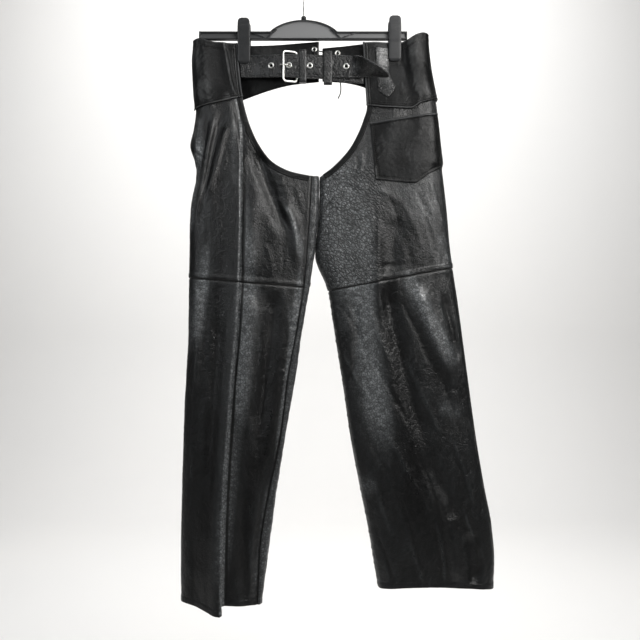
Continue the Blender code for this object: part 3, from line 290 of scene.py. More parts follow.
def wearAndLightNet(tree, given):
    # ridges lighter, partly rubbed wear and partly painted highlight; valleys darker, painted shade; soft
    # dusty patches
    patch = noise(tree, given["Vector"], given["Patch"], 5.0, 0.62)["Fac"]
    speck = noise(tree, given["Vector"], 420.0, 3.0)["Fac"]
    rubbedAndHighlight = times(tree, mapped(tree, given["Ridge"], 0.15, 0.9), mapped(tree, patch, 0.36, 0.6, 0.25, 1.0))
    dusty = times(tree, mapped(tree, patch, 0.5, 0.72), mapped(tree, speck, 0.42, 0.68))
    return {"RubbedAndHighlight": rubbedAndHighlight, "ValleyShade": mapped(tree, given["Ridge"], -0.1, -0.9), "Dusty": dusty}


def toneNet(tree, given):
    # slow changes over the surface, and the same 14 times finer
    slow = noise(tree, given["Vector"], given["Size"], 4.0, 0.55)["Fac"]
    fine = noise(tree, given["Vector"], times(tree, given["Size"], 14.0), 4.0, 0.6)["Fac"]
    return {"Tone": mapped(tree, slow, 0.3, 0.7), "Fine": mapped(tree, fine, 0.3, 0.7)}


netGroups = {
    "grain": newGroup("leather grain", {"Pebble": 400.0, "Coarse": 0.5}, grainNet),
    "creases": newGroup("fine creases", {"Size": 60.0, "Bend": 0.8}, creaseNet),
    # lighter ridges and edges, part rubbed wear and part painted highlight; darker valleys, painted shade;
    # dust
    "wearAndLight": newGroup("rubbing, dust and painted light", {"Ridge": 0.0, "Patch": 14.0}, wearAndLightNet),
    "tone": newGroup("slow tone", {"Size": 9.0}, toneNet),
}


def group(tree, name, place, **numbers):
    return addNode(tree, "Group", {"Vector": place, **numbers}, node_tree=netGroups[name])


def mark(tree, name):
    return addNode(tree, "Attribute", attribute_name=name)["Fac"]


def newFinish(name, fixed, make, *given):
    # a Principled shader: values that are the same all over, and the outputs that make
    # returns; each part of the bump is a 0 to 1 value and its height in metres
    material = bpy.data.materials.new(name)
    material.use_nodes = True
    tree = material.node_tree
    made = make(tree, addNode(tree, "TexCoord")["Object"], *given)
    if "bump" in made:
        height = summed(tree, made.pop("bump"))
        made["Normal"] = addNode(tree, "Bump", {"Height": height, "Strength": 1.0, "Distance": 1.0})["Normal"]
    feed(tree, tree.nodes["Principled BSDF"], {**fixed, **made})
    return material


# pebble and crease are cells for each metre; pebbleHigh, creaseHigh and waveHigh are in metres
# Colours: dark and light bound the random tone, then come the lighter colour of ridges and edges (part wear,
# part painted highlight), the dust colour, and at the end the painted highlight colour.
leatherLooks = {
    "grained": {"dark": (0.0028, 0.0030, 0.0033), "light": (0.0085, 0.0094, 0.0099),
                "rubbedAndHighlight": (0.045, 0.049, 0.051), "dust": (0.05, 0.05, 0.049), "rough": (0.32, 0.42),
                "pebble": 620.0, "coarse": 0.55, "pebbleHigh": 0.00024, "crease": 85.0, "creaseHigh": 0.00018,
                "waveHigh": 0.0005, "gloss": 0.5, "coat": 0.06, "paintedHighlightColour": (0.185, 0.196, 0.203)},
    "smooth": {"dark": (0.0065, 0.0067, 0.0070), "light": (0.011, 0.0113, 0.0117),
               "rubbedAndHighlight": (0.20, 0.204, 0.206), "dust": (0.06, 0.06, 0.058), "rough": (0.36, 0.46),
               "pebble": 900.0, "coarse": 0.35, "pebbleHigh": 0.00006, "crease": 60.0, "creaseHigh": 0.00008,
               "waveHigh": 0.00025, "gloss": 0.18, "coat": 0.0, "paintedHighlightColour": (0.055, 0.057, 0.059)},
    "belt": {"dark": (0.0035, 0.0037, 0.0040), "light": (0.011, 0.0118, 0.0122),
             "rubbedAndHighlight": (0.065, 0.067, 0.069), "dust": (0.05, 0.05, 0.048), "rough": (0.26, 0.40),
             "pebble": 520.0, "coarse": 0.5, "pebbleHigh": 0.0002, "crease": 80.0, "creaseHigh": 0.0004,
             "waveHigh": 0.0004, "gloss": 0.55, "coat": 0.22, "paintedHighlightColour": (0.08, 0.082, 0.083)},
    "lace": {"dark": (0.008, 0.008, 0.008), "light": (0.018, 0.0175, 0.017), "rubbedAndHighlight": (0.05, 0.048, 0.045),
             "dust": (0.05, 0.05, 0.05), "rough": (0.6, 0.8), "pebble": 1500.0, "coarse": 0.3,
             "pebbleHigh": 0.00012, "crease": 300.0, "creaseHigh": 0.0001, "waveHigh": 0.0001, "gloss": 0.3,
             "coat": 0.0, "paintedHighlightColour": (0.03, 0.03, 0.03)},
}


def leatherNet(tree, place, look):
    pebbles = group(tree, "grain", place, Pebble=look["pebble"], Coarse=look["coarse"])
    lines = group(tree, "creases", place, Size=look["crease"])
    wearAndShade = group(tree, "wearAndLight", place, Ridge=mark(tree, "fold"))
    tone = group(tree, "tone", place)
    # large diamond pebbles where the pebbled mark is set: cells stretched down a slant
    pebbled = mark(tree, "pebbled")
    slant = addNode(tree, "Mapping", {"Vector": place, "Rotation": (0.0, 0.7, 0.0),
                                      "Scale": (1.55, 1.0, 0.9)}, vector_type="TEXTURE")[0]
    bigPebble = mapped(tree, cells(tree, slant, 190.0, spread=0.85)["Distance"], 0.0, 0.22)
    # the grooves between the large pebbles are darkened: painted shade
    gap = times(tree, maths(tree, "SUBTRACT", 1.0, bigPebble), pebbled)
    # the sheen mark: painted highlight where above 0, painted shade where below
    paintedSheenShade = mark(tree, "paintedSheenShade")
    paintedSheenMask, paintedShadeMask = (mapped(tree, paintedSheenShade, 0.0, end) for end in (1.0, -1.0))
    # painted highlight, speckled by the pebbles' heights and cells
    paintedHighlight = times(tree, paintedSheenMask, times(tree, mapped(tree, pebbles["Height"], 0.2, 0.85, 0.2, 1.0),
                                    mapped(tree, pebbles["Cell"], 0.0, 1.0, 0.5, 1.45)))
    # layers: random tone and cell tone; lighter ridges and edges (part wear, part painted highlight); dust;
    # darker valleys and fine crease lines (painted shade); then the painted highlight, the painted shade and
    # the painted shade in the grooves between large pebbles
    colour = layered(tree, look["dark"], (
        (tone["Tone"], 1, look["light"]), (pebbles["Cell"], 0.35, look["light"]),
        (wearAndShade["RubbedAndHighlight"], 0.6, look["rubbedAndHighlight"]), (wearAndShade["Dusty"], 0.12, look["dust"]),
        (wearAndShade["ValleyShade"], 0.75, (0.002, 0.002, 0.002)), (lines["Line"], 0.35, (0.003, 0.003, 0.003)),
        (paintedHighlight, 0.75, look["paintedHighlightColour"]), (paintedShadeMask, 0.85, (0.0012, 0.0012, 0.0013)),
        (gap, 0.8, (0.0025, 0.0025, 0.0026))))
    made = {"Base Color": colour}
    even = mapped(tree, tone["Fine"], 0.0, 1.0, *look["rough"])
    made["Roughness"] = summed(tree, ((wearAndShade["RubbedAndHighlight"], -0.10), (wearAndShade["Dusty"], 0.15), (paintedSheenMask, 0.10),
                                      (paintedShadeMask, -0.04)), even)
    if look["coat"]:
        even = mapped(tree, tone["Tone"], 0.0, 1.0, 0.6 * look["coat"], 1.4 * look["coat"])
        coat = times(tree, maths(tree, "ADD", even, paintedHighlight), mapped(tree, paintedShadeMask, 0.0, 1.0, 1.0, 0.1))
        made["Coat Weight"] = times(tree, coat, mapped(tree, gap, 0.0, 1.0, 1.0, 0.1))
    wave = noise(tree, place, 1.3 * look["crease"])["Fac"]
    big = times(tree, bigPebble, pebbled)
    made["bump"] = ((pebbles["Height"], look["pebbleHigh"]), (lines["Height"], look["creaseHigh"]),
                    (wave, look["waveHigh"]), (tone["Fine"], 0.0001), (big, 0.0006))
    return made


def threadNet(tree, place):
    # waxed thread: two strands that wind round each other
    strand = addNode(tree, "TexWave", {"Vector": place, "Scale": 900.0, "Distortion": 1.5, "Detail": 1.0},
                     bands_direction="DIAGONAL")["Fac"]
    tone = group(tree, "tone", place, Size=60.0)
    colour = layered(tree, (0.006, 0.006, 0.006), ((strand, 1, (0.030, 0.030, 0.029)),
                                                   (tone["Tone"], 0.5, (0.040, 0.039, 0.036))))
    return {"Base Color": colour, "Roughness": mapped(tree, tone["Fine"], 0.0, 1.0, 0.42, 0.62),
            "bump": ((strand, 0.00006),)}


def nickelNet(tree, place, colour, rough):
    # bright plating with fine scratches, small pits and dull patches
    stretched = addNode(tree, "Mapping", {"Vector": place, "Scale": (900.0, 900.0, 90.0),
                                          "Rotation": (0.3, 0.5, 0.2)})[0]
    scratch = noise(tree, stretched, 1.0, 3.0, 0.7)["Fac"]
    tone = group(tree, "tone", place, Size=45.0)
    pit = mapped(tree, cells(tree, place, 1500.0, "F1")["Distance"], 0.0, 0.16, 1.0, 0.0)
    shade = layered(tree, colour, ((tone["Tone"], 1, [0.82 * c for c in colour]),
                                   (pit, 0.4, (0.12, 0.11, 0.10))))
    even = mapped(tree, tone["Fine"], 0.0, 1.0, *rough)
    return {"Base Color": shade, "Roughness": summed(tree, ((mapped(tree, scratch, 0.45, 0.7), 0.14),), even),
            "bump": ((scratch, 0.000015), (pit, -0.000012))}


def plasticNet(tree, place, dark, light, web):
    # moulded plastic: fine spark-eroded grain, slow flow marks, thin webs painted lighter as if light shone
    # through them, and edges lightened, part wear and part painted highlight
    tone = group(tree, "tone", place, Size=22.0)
    wearAndShade = group(tree, "wearAndLight", place, Ridge=mark(tree, "fold"), Patch=40.0)
    spark = noise(tree, place, 1900.0, 3.0, 0.7)["Fac"]
    scuff = group(tree, "creases", place, Size=70.0, Bend=2.0)
    # the web colour is painted light, as if lit through the thin plastic
    colour = layered(tree, dark, ((tone["Tone"], 1, light), (mark(tree, "paintedWebLight"), 1, web),
                                  (wearAndShade["RubbedAndHighlight"], 0.4, [2.2 * c for c in light]),
                                  (wearAndShade["Dusty"], 0.15, (0.2, 0.2, 0.195))))
    even = mapped(tree, tone["Fine"], 0.0, 1.0, 0.34, 0.46)
    return {"Base Color": colour, "Roughness": summed(tree, ((scuff["Line"], 0.10),), even),
            "bump": ((spark, 0.000035), (scuff["Height"], 0.00001))}


grainedLeather, smoothLeather, beltLeather, laceLeather = (
    newFinish(name + "Leather", {"Specular IOR Level": look["gloss"], "Coat Roughness": 0.34}, leatherNet,
              look)
    for name, look in leatherLooks.items())
thread = newFinish("waxedThread", {"Specular IOR Level": 0.35}, threadNet)
brightNickel = newFinish("brightNickel", {"Metallic": 1.0}, nickelNet, (0.86, 0.85, 0.82), (0.24, 0.36))
hookSteel = newFinish("hookSteel", {"Metallic": 1.0}, nickelNet, (0.52, 0.52, 0.51), (0.22, 0.36))
# the third colour is painted light for the thin webs, as if lit through
mouldedPlastic = newFinish("mouldedPlastic", {"Specular IOR Level": 0.45}, plasticNet,
                           (0.015, 0.016, 0.017), (0.026, 0.027, 0.029), (0.20, 0.202, 0.205))
print("finishes made")


def putPiece(name, points, quads, material, nodes=(), triangles=(), marks=None):
    # a closed mesh from millimetre points; its faces are turned out by the sign of its volume
    points = np.asarray(points, float)
    quads = np.asarray(quads, int).reshape(-1, 4)
    triangles = np.asarray(triangles, int).reshape(-1, 3)
    corners = np.concatenate([quads[:, [0, 1, 2]], quads[:, [0, 2, 3]], triangles])
    a, b, c = (points[corners[:, k]] - points.mean(axis=0) for k in range(3))
    if (a * np.cross(b, c)).sum() < 0:
        quads, triangles = quads[:, ::-1], triangles[:, ::-1]
    mesh = bpy.data.meshes.new(name)
    mesh.from_pydata((points * mm).tolist(), [], quads.tolist() + triangles.tolist())
    mesh.shade_smooth()
    for key, values in (marks or {}).items():
        values = np.asarray(values, np.float32).ravel()
        mesh.attributes.new(key, "FLOAT", "POINT").data.foreach_set("value", values)
    mesh.materials.append(material)
    obj = newObject(name, mesh)
    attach(obj, "root")
    if nodes:
        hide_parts(*nodes)
    return obj


def gridQuads(rows, cols, roundRows=False, roundCols=False):
    i = np.arange(rows if roundRows else rows - 1)[:, None]
    j = np.arange(cols if roundCols else cols - 1)[None]
    a, b = i * cols + j, i * cols + (j + 1) % cols
    c, d = (i + 1) % rows * cols + (j + 1) % cols, (i + 1) % rows * cols + j
    return np.stack([a, b, c, d], axis=-1).reshape(-1, 4)


def borderLoop(rows, cols):
    # point numbers round the border of a grid
    index = np.arange(rows * cols).reshape(rows, cols)
    return np.concatenate([index[0], index[1:, -1], index[-1, -2::-1], index[-2:0:-1, 0]])


def circle(parts):
    return np.arange(parts) * 2 * math.pi / parts


def gridNormals(grid, side=1.0):
    # across the columns times down the rows, turned by side
    return side * unit(np.cross(np.gradient(grid, axis=1), np.gradient(grid, axis=0)))


def normalsTo(grid, depth):
    # a grid's normals, turned to the front (-1) or the back (1)
    normals = gridNormals(grid)
    return normals if normals[len(grid) // 2, grid.shape[1] // 2, 1] * depth > 0 else -normals


def leatherShell(name, outer, normals, wall, material, nodes, fold, paintedSheenShade=None, pebbled=None):
    # a sheet of leather: the outer grid, the same grid one wall further in, and a
    # rounded rim between them, whose middle ring stands out by bulge times the wall
    bulge = 0.3
    rows, cols = outer.shape[:2]
    count = rows * cols
    inner = outer - normals * wall
    away = np.zeros_like(outer)
    away[0] += unit(outer[0] - outer[1])
    away[-1] += unit(outer[-1] - outer[-2])
    away[:, 0] += unit(outer[:, 0] - outer[:, 1])
    away[:, -1] += unit(outer[:, -1] - outer[:, -2])
    loop = borderLoop(rows, cols)
    rim = (0.5 * (outer + inner) + unit(away) * bulge * wall).reshape(-1, 3)[loop]
    sheet = gridQuads(rows, cols)
    ring = 2 * count + np.arange(len(loop))
    after, loopAfter = np.roll(ring, -1), np.roll(loop, -1)
    upper = np.stack([loopAfter, loop, ring, after], axis=1)
    lower = np.stack([after, ring, count + loop, count + loopAfter], axis=1)
    quads = np.concatenate([sheet, count + sheet[:, ::-1], upper, lower])
    points = np.concatenate([outer.reshape(-1, 3), inner.reshape(-1, 3), rim])
    # the rim's fold mark lightens the cut edge, part wear and part painted highlight; the sheen mark paints
    # highlight and shade and is copied onto the rim
    marks = {"fold": np.concatenate([fold.ravel(), np.zeros(count), np.full(len(loop), 0.6)])}
    for key, values in (("paintedSheenShade", paintedSheenShade), ("pebbled", pebbled)):
        if values is not None:
            marks[key] = np.concatenate([values.ravel(), np.zeros(count), values.ravel()[loop]])
    return putPiece(name, points, quads, material, nodes, marks=marks)


def loft(name, rings, material, nodes, closedRun=False, marks=None):
    # closed outlines (rings, places round, 3) joined one to the next; open ends get a fan
    count, around = rings.shape[:2]
    quads = gridQuads(count, around, closedRun, True)
    points, fans = rings.reshape(-1, 3), ()
    if not closedRun:
        j = np.arange(around)
        k = (j + 1) % around
        last = (count - 1) * around
        points = np.concatenate([points, rings[:1].mean(axis=1), rings[-1:].mean(axis=1)])
        fans = np.concatenate([np.stack([k, j, 0 * j + len(points) - 2], axis=1),
                               np.stack([last + j, last + k, 0 * j + len(points) - 1], axis=1)])
        marks = {key: np.append(values, (0.0, 0.0)) for key, values in (marks or {}).items()}
    return putPiece(name, points, quads, material, nodes, fans, marks)


def tubeRings(path, radius, reference, sides, closed=False, flat=1.0):
    # circles (or ovals, flat times as thick) set across a path, kept level by a fixed direction
    path = np.asarray(path, float)
    run = np.roll(path, -1, axis=0) - np.roll(path, 1, axis=0) if closed else np.gradient(path, axis=0)
    run = unit(run)
    across = unit(np.cross(run, np.asarray(reference, float)))
    other = np.cross(across, run)
    turn = circle(sides)[:, None]
    radius = np.broadcast_to(np.asarray(radius, float), (len(path),))[:, None, None]
    return path[:, None] + radius * (np.cos(turn) * across[:, None] + flat * np.sin(turn) * other[:, None])


def roundEnds(path, radius, parts=5):
    # the path with extra places at both ends, and a radius that closes each end to a dome
    lean = np.linspace(0, math.pi / 2, parts + 1)[1:]
    reach = (radius * np.sin(lean))[:, None]
    behind = (path[0] + unit(path[0] - path[1]) * reach)[::-1]
    ahead = path[-1] + unit(path[-1] - path[-2]) * reach
    dome = radius * np.maximum(np.cos(lean), 0.05)
    return (np.concatenate([behind, path, ahead]),
            np.concatenate([dome[::-1], np.full(len(path), radius), dome]))


def turned(name, profile, centre, axis, material, nodes, segments):
    # a closed profile of (radius, height) turned round an axis
    axis = unit(np.asarray(axis, float))
    side = unit(np.cross(axis, (0, 0, 1) if abs(axis[2]) < 0.9 else (1, 0, 0)))
    profile = np.asarray(profile, float)
    turn = circle(segments)[:, None]
    ring = np.cos(turn) * side + np.sin(turn) * np.cross(axis, side)
    points = np.asarray(centre) + ring[:, None] * profile[None, :, :1] + axis * profile[None, :, 1:]
    return loft(name, points, material, nodes, closedRun=True)


def softNoise(x, y, seed):
    # gradient noise, brought to about -1 to 1: each corner of a unit grid has a slope,
    # and the four are blended
    turn = np.random.default_rng(seed).uniform(0, 2 * math.pi, (64, 64))
    i, j = np.floor(x).astype(int), np.floor(y).astype(int)
    u, v = x - i, y - j

    def corner(di, dj):
        angle = turn[(i + di) % 64, (j + dj) % 64]
        return np.cos(angle) * (u - di) + np.sin(angle) * (v - dj)

    a, b = ease(u), ease(v)
    return 1.4 * mix(mix(corner(0, 0), corner(1, 0), a), mix(corner(0, 1), corner(1, 1), a), b)


def creased(x, drop, size, stretch, lean, seed):
    # plump leather between creases: noise folded at its middle, on turned and stretched axes
    angle = math.radians(lean)
    a = (x * math.cos(angle) + drop * math.sin(angle)) / size
    b = (drop * math.cos(angle) - x * math.sin(angle)) / (size * stretch)
    bend = softNoise(0.4 * a, 0.4 * b, seed + 1)
    return -np.clip(1 - 2.2 * np.abs(softNoise(a + 1.1 * bend, b + 0.7 * bend, seed)), 0, 1) ** 3


def edgeDistances(grid):
    # how far each place lies from the first and last row and the first and last column
    down, across = runLength(grid, 0), runLength(grid, 1)
    return {"top": down, "bottom": down[-1:] - down, "first": across, "last": across[:, -1:] - across}


def seamRelief(distances, seams):
    # each seam is a side and its bells: distance from that side, half width and height.
    # A negative distance makes a margin of that width, with its edge eased over the half width.
    total = 0.0
    for side, bells in seams.items():
        for at, width, height in bells:
            shape = 1 - ease((distances[side] + at) / width) if at < 0 else bell(distances[side] - at, width)
            total = total + height * shape
    return total


def gathered(relief, grid, distances, gathers, seed):
    # relief with small gathers that start at a seam and die out away from it: each has its
    # side, reach, height and size
    for side, reach, height, size in gathers:
        run = grid[..., 0] if side in ("top", "bottom") else -grid[..., 2]
        fade = np.exp(-(distances[side] / reach) ** 1.5) * ease(distances[side] / 1.5)
        relief = relief + height * fade * softNoise(run / size, 0.25 * distances[side] / size, seed)
    return relief


def lineAt(grid, normals, distances, side, offset):
    # the line on a grid that keeps one distance from a side, with its normals
    far = distances[side]
    if side in ("first", "last"):
        far, grid, normals = far.T, grid.swapaxes(0, 1), normals.swapaxes(0, 1)
    if side in ("bottom", "last"):
        far, grid, normals = far[::-1], grid[::-1], normals[::-1]
    after = np.clip((far < offset).sum(axis=0), 1, len(far) - 1)[None]
    low, high = np.take_along_axis(far, after - 1, 0), np.take_along_axis(far, after, 0)
    share = ((offset - low) / np.maximum(high - low, 1e-6))[0, :, None]

    def pick(values):
        before = np.take_along_axis(values, after[..., None] - 1, 0)[0]
        return mix(before, np.take_along_axis(values, after[..., None], 0)[0], share)

    return pick(grid), unit(pick(normals))


def trimRun(path, normals, start=0.0, end=0.0):
    # a run shortened by these lengths at its ends
    gone = runLength(path)
    keep = (gone >= start) & (gone <= gone[-1] - end)
    return path[keep], normals[keep]


stitchSet = {"pitch": 3.3, "long": 2.5, "radius": 0.34, "rise": 0.10, "sink": 0.45, "sides": 6}


def sew(name, runs, scale=1.0):
    # each stitch is a short tube whose ends dip into the leather
    s = stitchSet
    places, outs, alongs = [], [], []
    for path, normals in runs:
        gone = runLength(path)
        at = (np.arange(int(gone[-1] / (s["pitch"] * scale))) + 0.5) * s["pitch"] * scale
        step = 0.4 * s["pitch"]

        def read(values, where):
            return np.stack([np.interp(where, gone, values[:, k]) for k in range(3)], axis=1)

        places.append(read(path, at))
        outs.append(unit(read(normals, at)))
        alongs.append(unit(read(path, at + step) - read(path, at - step)))
    centre, out, run = (np.concatenate(a)[:, None, None] for a in (places, outs, alongs))
    across = unit(np.cross(run, out))
    t = np.array([-1, -0.5, 0.5, 1])[None, :, None, None]
    radius = s["radius"] * scale * np.array([0.5, 1, 1, 0.5])[None, :, None, None]
    height = np.where(np.abs(t) > 0.9, -s["sink"], s["rise"])
    turn = circle(s["sides"])[None, None, :, None]
    points = (centre + run * t * 0.5 * s["long"] * scale + out * height
              + radius * (np.cos(turn) * out + np.sin(turn) * across))
    each = 4 * s["sides"]
    one = np.concatenate([gridQuads(4, s["sides"], False, True), [[3, 2, 1, 0], [0, 5, 4, 3]],
                          np.array([[0, 1, 2, 3], [3, 4, 5, 0]]) + 3 * s["sides"]])
    quads = (one[None] + each * np.arange(len(centre))[:, None, None]).reshape(-1, 4)
    return putPiece(name, points.reshape(-1, 3), quads, thread)


# Right leg, from the waist to the hem. outer: silhouette away from the other leg.
# crease: the lapped fold down the front. inner: yoke edge, then front opening, then
# inseam. edge: silhouette towards the other leg. seat: back opening, behind the front.
rightLeg = tableOf(
    "outer outerDrop crease inner innerDrop edge seat out creaseOut "
    "step lap inOut edgeOut back dip closed", (
    (-196, 129, -146, -119, 135, 0, -128, 10, 5, 0, 0, 1, 0.4, 13, 0, 0),
    (-199, 170, -139, -117, 167, 0, -128, 13, 7, 0, 0, 2, 0.4, 16, 0, 0),
    (-197, 215, -131, -113, 205, 0, -125, 17, 12, 0, 0, 7, 5, 19, 0, 0),
    (-194, 254, -121, -109, 232, 0, -122, 20, 17, 2, 0, 14, 12, 21, 0, 0),
    (-198, 287, -112, -98, 275, 0, -111, 22, 22, 8, 0, 15, 14, 22, 0, 0),
    (-204, 317, -109.5, -79, 318, 0, -91, 24, 25, 9, 0.5, 17, 15, 23, 0, 0),
    (-196, 345, -109.5, -54, 349, 0, -60, 25, 26, 9, 1, 18, 15, 23, 0, 0),
    (-192, 362, -109.5, -20, 366, 0, -8, 26, 27, 9, 1, 19, 15, 23, 0, 0),
    (-193, 379, -110, 14.4, 373, 28.3, 0, 26, 28, 9, 1, 20, 14, 22, 0, 1),
    (-203, 432, -110, 11.5, 428, 28, 0, 27, 29, 9, 1, 21, 14, 22, 0, 1),
    (-205, 495, -111, 6.5, 503, 20.9, 0, 27, 30, 9, 1, 21, 13, 22, 0, 1),
    (-206, 555, -112.5, 0, 572, 11, 0, 26, 31, 9, 1, 21, 12, 21, 0, 1),
    (-207, 650, -116.5, -12, 648, -2, 0, 25, 33, 9, 1, 20, 12, 20, 0, 1),
    (-211, 726, -124, -27, 725, -13, 0, 25, 34, 10, 1, 20, 12, 20, 0, 1),
    (-216, 842, -132, -42, 842, -33, 0, 24, 37, 11, 1, 21, 12, 20, 0, 1),
    (-219, 940, -138, -63, 942, -49, 0, 23, 41, 14, 1, 22, 12, 20, 0, 1),
    (-221, 1045, -141, -79, 1045, -63, 0, 23, 45, 18, 1, 23, 12, 21, 2, 1),
    (-220, 1132, -142, -83, 1138, -75, 0, 23, 49, 23, 1, 24, 12, 22, 11, 1),
))

rightYokeRow, rightCrotchRow, rightSeamRow = 3, 8, 11
# Left leg. clip: how far out the wall lies where the hanger's clip pinches it.
# rise: how much higher the middle of a row lies than its ends.
leftLeg = tableOf(
    "outer outerDrop inner innerDrop seat out clip inOut edgeOut back rise closed", (
    (221, 108, 105, 126, 114, 10, 0.4, 4, 6, 13, 0, 0),
    (226, 165, 108, 168, 117, 13, 0.5, 5, 6, 16, 0, 0),
    (231, 195, 110, 203, 119, 16, 9, 8, 7, 18, 0, 0),
    (238, 236, 113, 247, 124, 19, 17, 14, 10, 20, 0, 0),
    (243, 275, 105, 278, 119, 21, 20, 17, 13, 21, 0, 0),
    (248, 322, 84, 322, 98, 22, 22, 19, 15, 22, 0, 0),
    (251, 348, 59, 351, 67, 23, 23, 20, 15, 22, 0, 0),
    (249, 359, 44, 364, 45, 23, 23, 20, 15, 22, 0, 0),
    (251, 377, 28.6, 373, 0, 23, 23, 20, 1, 22, 0, 1),
    (257, 430, 27.6, 434, 0, 24, 24, 21, -5.5, 22, 0, 1),
    (262, 490, 20.5, 512, 0, 24, 24, 21, -5.5, 22, 0, 1),
    (268, 537, 44, 578, 0, 23, 24, 20, -5.5, 22, 0, 1),
    (277, 598, 52, 630, 0, 22, 23, 20, -5.5, 21, 0, 1),
    (288, 680, 62, 694, 0, 21, 22, 19, -5.5, 20, 0, 1),
    (298, 755, 71, 750, 0, 21, 22, 19, -5.5, 20, 0, 1),
    (309, 835, 84, 840, 0, 21, 21, 19, -5.5, 20, 0, 1),
    (324, 925, 101, 930, 0, 21, 21, 19, -5.5, 20, 0, 1),
    (338, 1000, 117, 1010, 0, 21, 21, 19, -5.5, 20, 2, 1),
    (343, 1060, 126, 1065, 0, 21, 21, 20, -5.5, 21, 4, 1),
    (341, 1111, 134, 1110, 0, 21, 21, 20, -5.5, 22, 6, 1),
))

leftYokeRow, leftCrotchRow, leftSeamRow = 3, 8, 11
# The lap of the crease, from the front of its roll to the wall behind it.
creaseLap = tableOf("across behind", (
    (-9, 0), (-2.2, 0.2), (0, 2.7), (-2.4, 5.2), (-8, 5.8), (-9.4, 7), (-8, 8.3), (1, 8.8)))

# Largest folds of each face: a bent line through three places, a half width and a height.
# A ridge is positive and a valley negative.
foldColumns = "x0 drop0 x1 drop1 x2 drop2 width height"

rightFrontFolds = tableOf(foldColumns, (
    (-157, 264, -177, 367, -195, 467, 6, 4), (-146, 263, -162, 337, -178, 417, 6, -4),
    (-134, 277, -153, 346, -174, 421, 6, 4), (-88, 320, -63, 392, -29, 476, 13, -12),
    (-45, 422, -15, 467, -8, 545, 10, 8), (-90, 399, -93, 488, -93, 557, 16, 5),
    (-95, 571, -97, 674, -109, 807, 16, 6), (-54, 577, -63, 683, -86, 896, 13, -8),
    (-11, 586, -29, 701, -59, 896, 8, 5), (-102, 896, -107, 1056, -102, 1134, 10, -5),
    (-74, 914, -91, 1056, -95, 1132, 8, 4), (-189, 577, -189, 648, -196, 807, 10, 4),
    (-145, 568, -157, 772, -173, 985, 13, -5)))

rightBackFolds = tableOf(foldColumns, (
    (-150, 262, -160, 360, -150, 470, 14, 5), (-110, 300, -90, 400, -60, 500, 14, -7),
    (-40, 420, -20, 500, -30, 600, 10, 6), (-150, 560, -130, 700, -110, 860, 16, -7),
    (-80, 620, -90, 760, -120, 900, 12, 6), (-175, 800, -165, 950, -170, 1100, 12, 5),
    (-120, 930, -110, 1040, -120, 1120, 12, -6)))

leftFrontFolds = tableOf(foldColumns, (
    (143, 559, 171, 683, 221, 878, 14, -8), (198, 563, 228, 648, 272, 758, 14, 7),
    (246, 580, 264, 648, 280, 710, 8, -5), (86, 591, 95, 674, 75, 758, 6, -4),
    (132, 444, 132, 541, 141, 639, 9, 4), (166, 444, 160, 500, 155, 560, 14, -4),
    (216, 861, 250, 940, 269, 985, 12, -5), (242, 914, 264, 1020, 274, 1106, 12, 7),
    (292, 1003, 299, 1056, 303, 1106, 9, -7)))

leftBackFolds = tableOf(foldColumns, (
    (190, 270, 200, 360, 190, 460, 14, 5), (130, 300, 110, 400, 80, 500, 14, -7),
    (220, 560, 200, 700, 160, 860, 16, -7), (120, 600, 150, 740, 200, 880, 13, 6),
    (260, 760, 280, 900, 285, 1050, 12, 5), (200, 950, 215, 1040, 225, 1100, 12, -6)))

backLower = 1.0        # how much lower the back opening's edge lies than the front's


def stack(xs, outs, drops):
    # knots (rows, K, 3) out of lists of columns: x, distance in front, drop
    return np.stack([np.stack(xs, 1), -np.stack(outs, 1), -np.stack(drops, 1)], axis=-1)


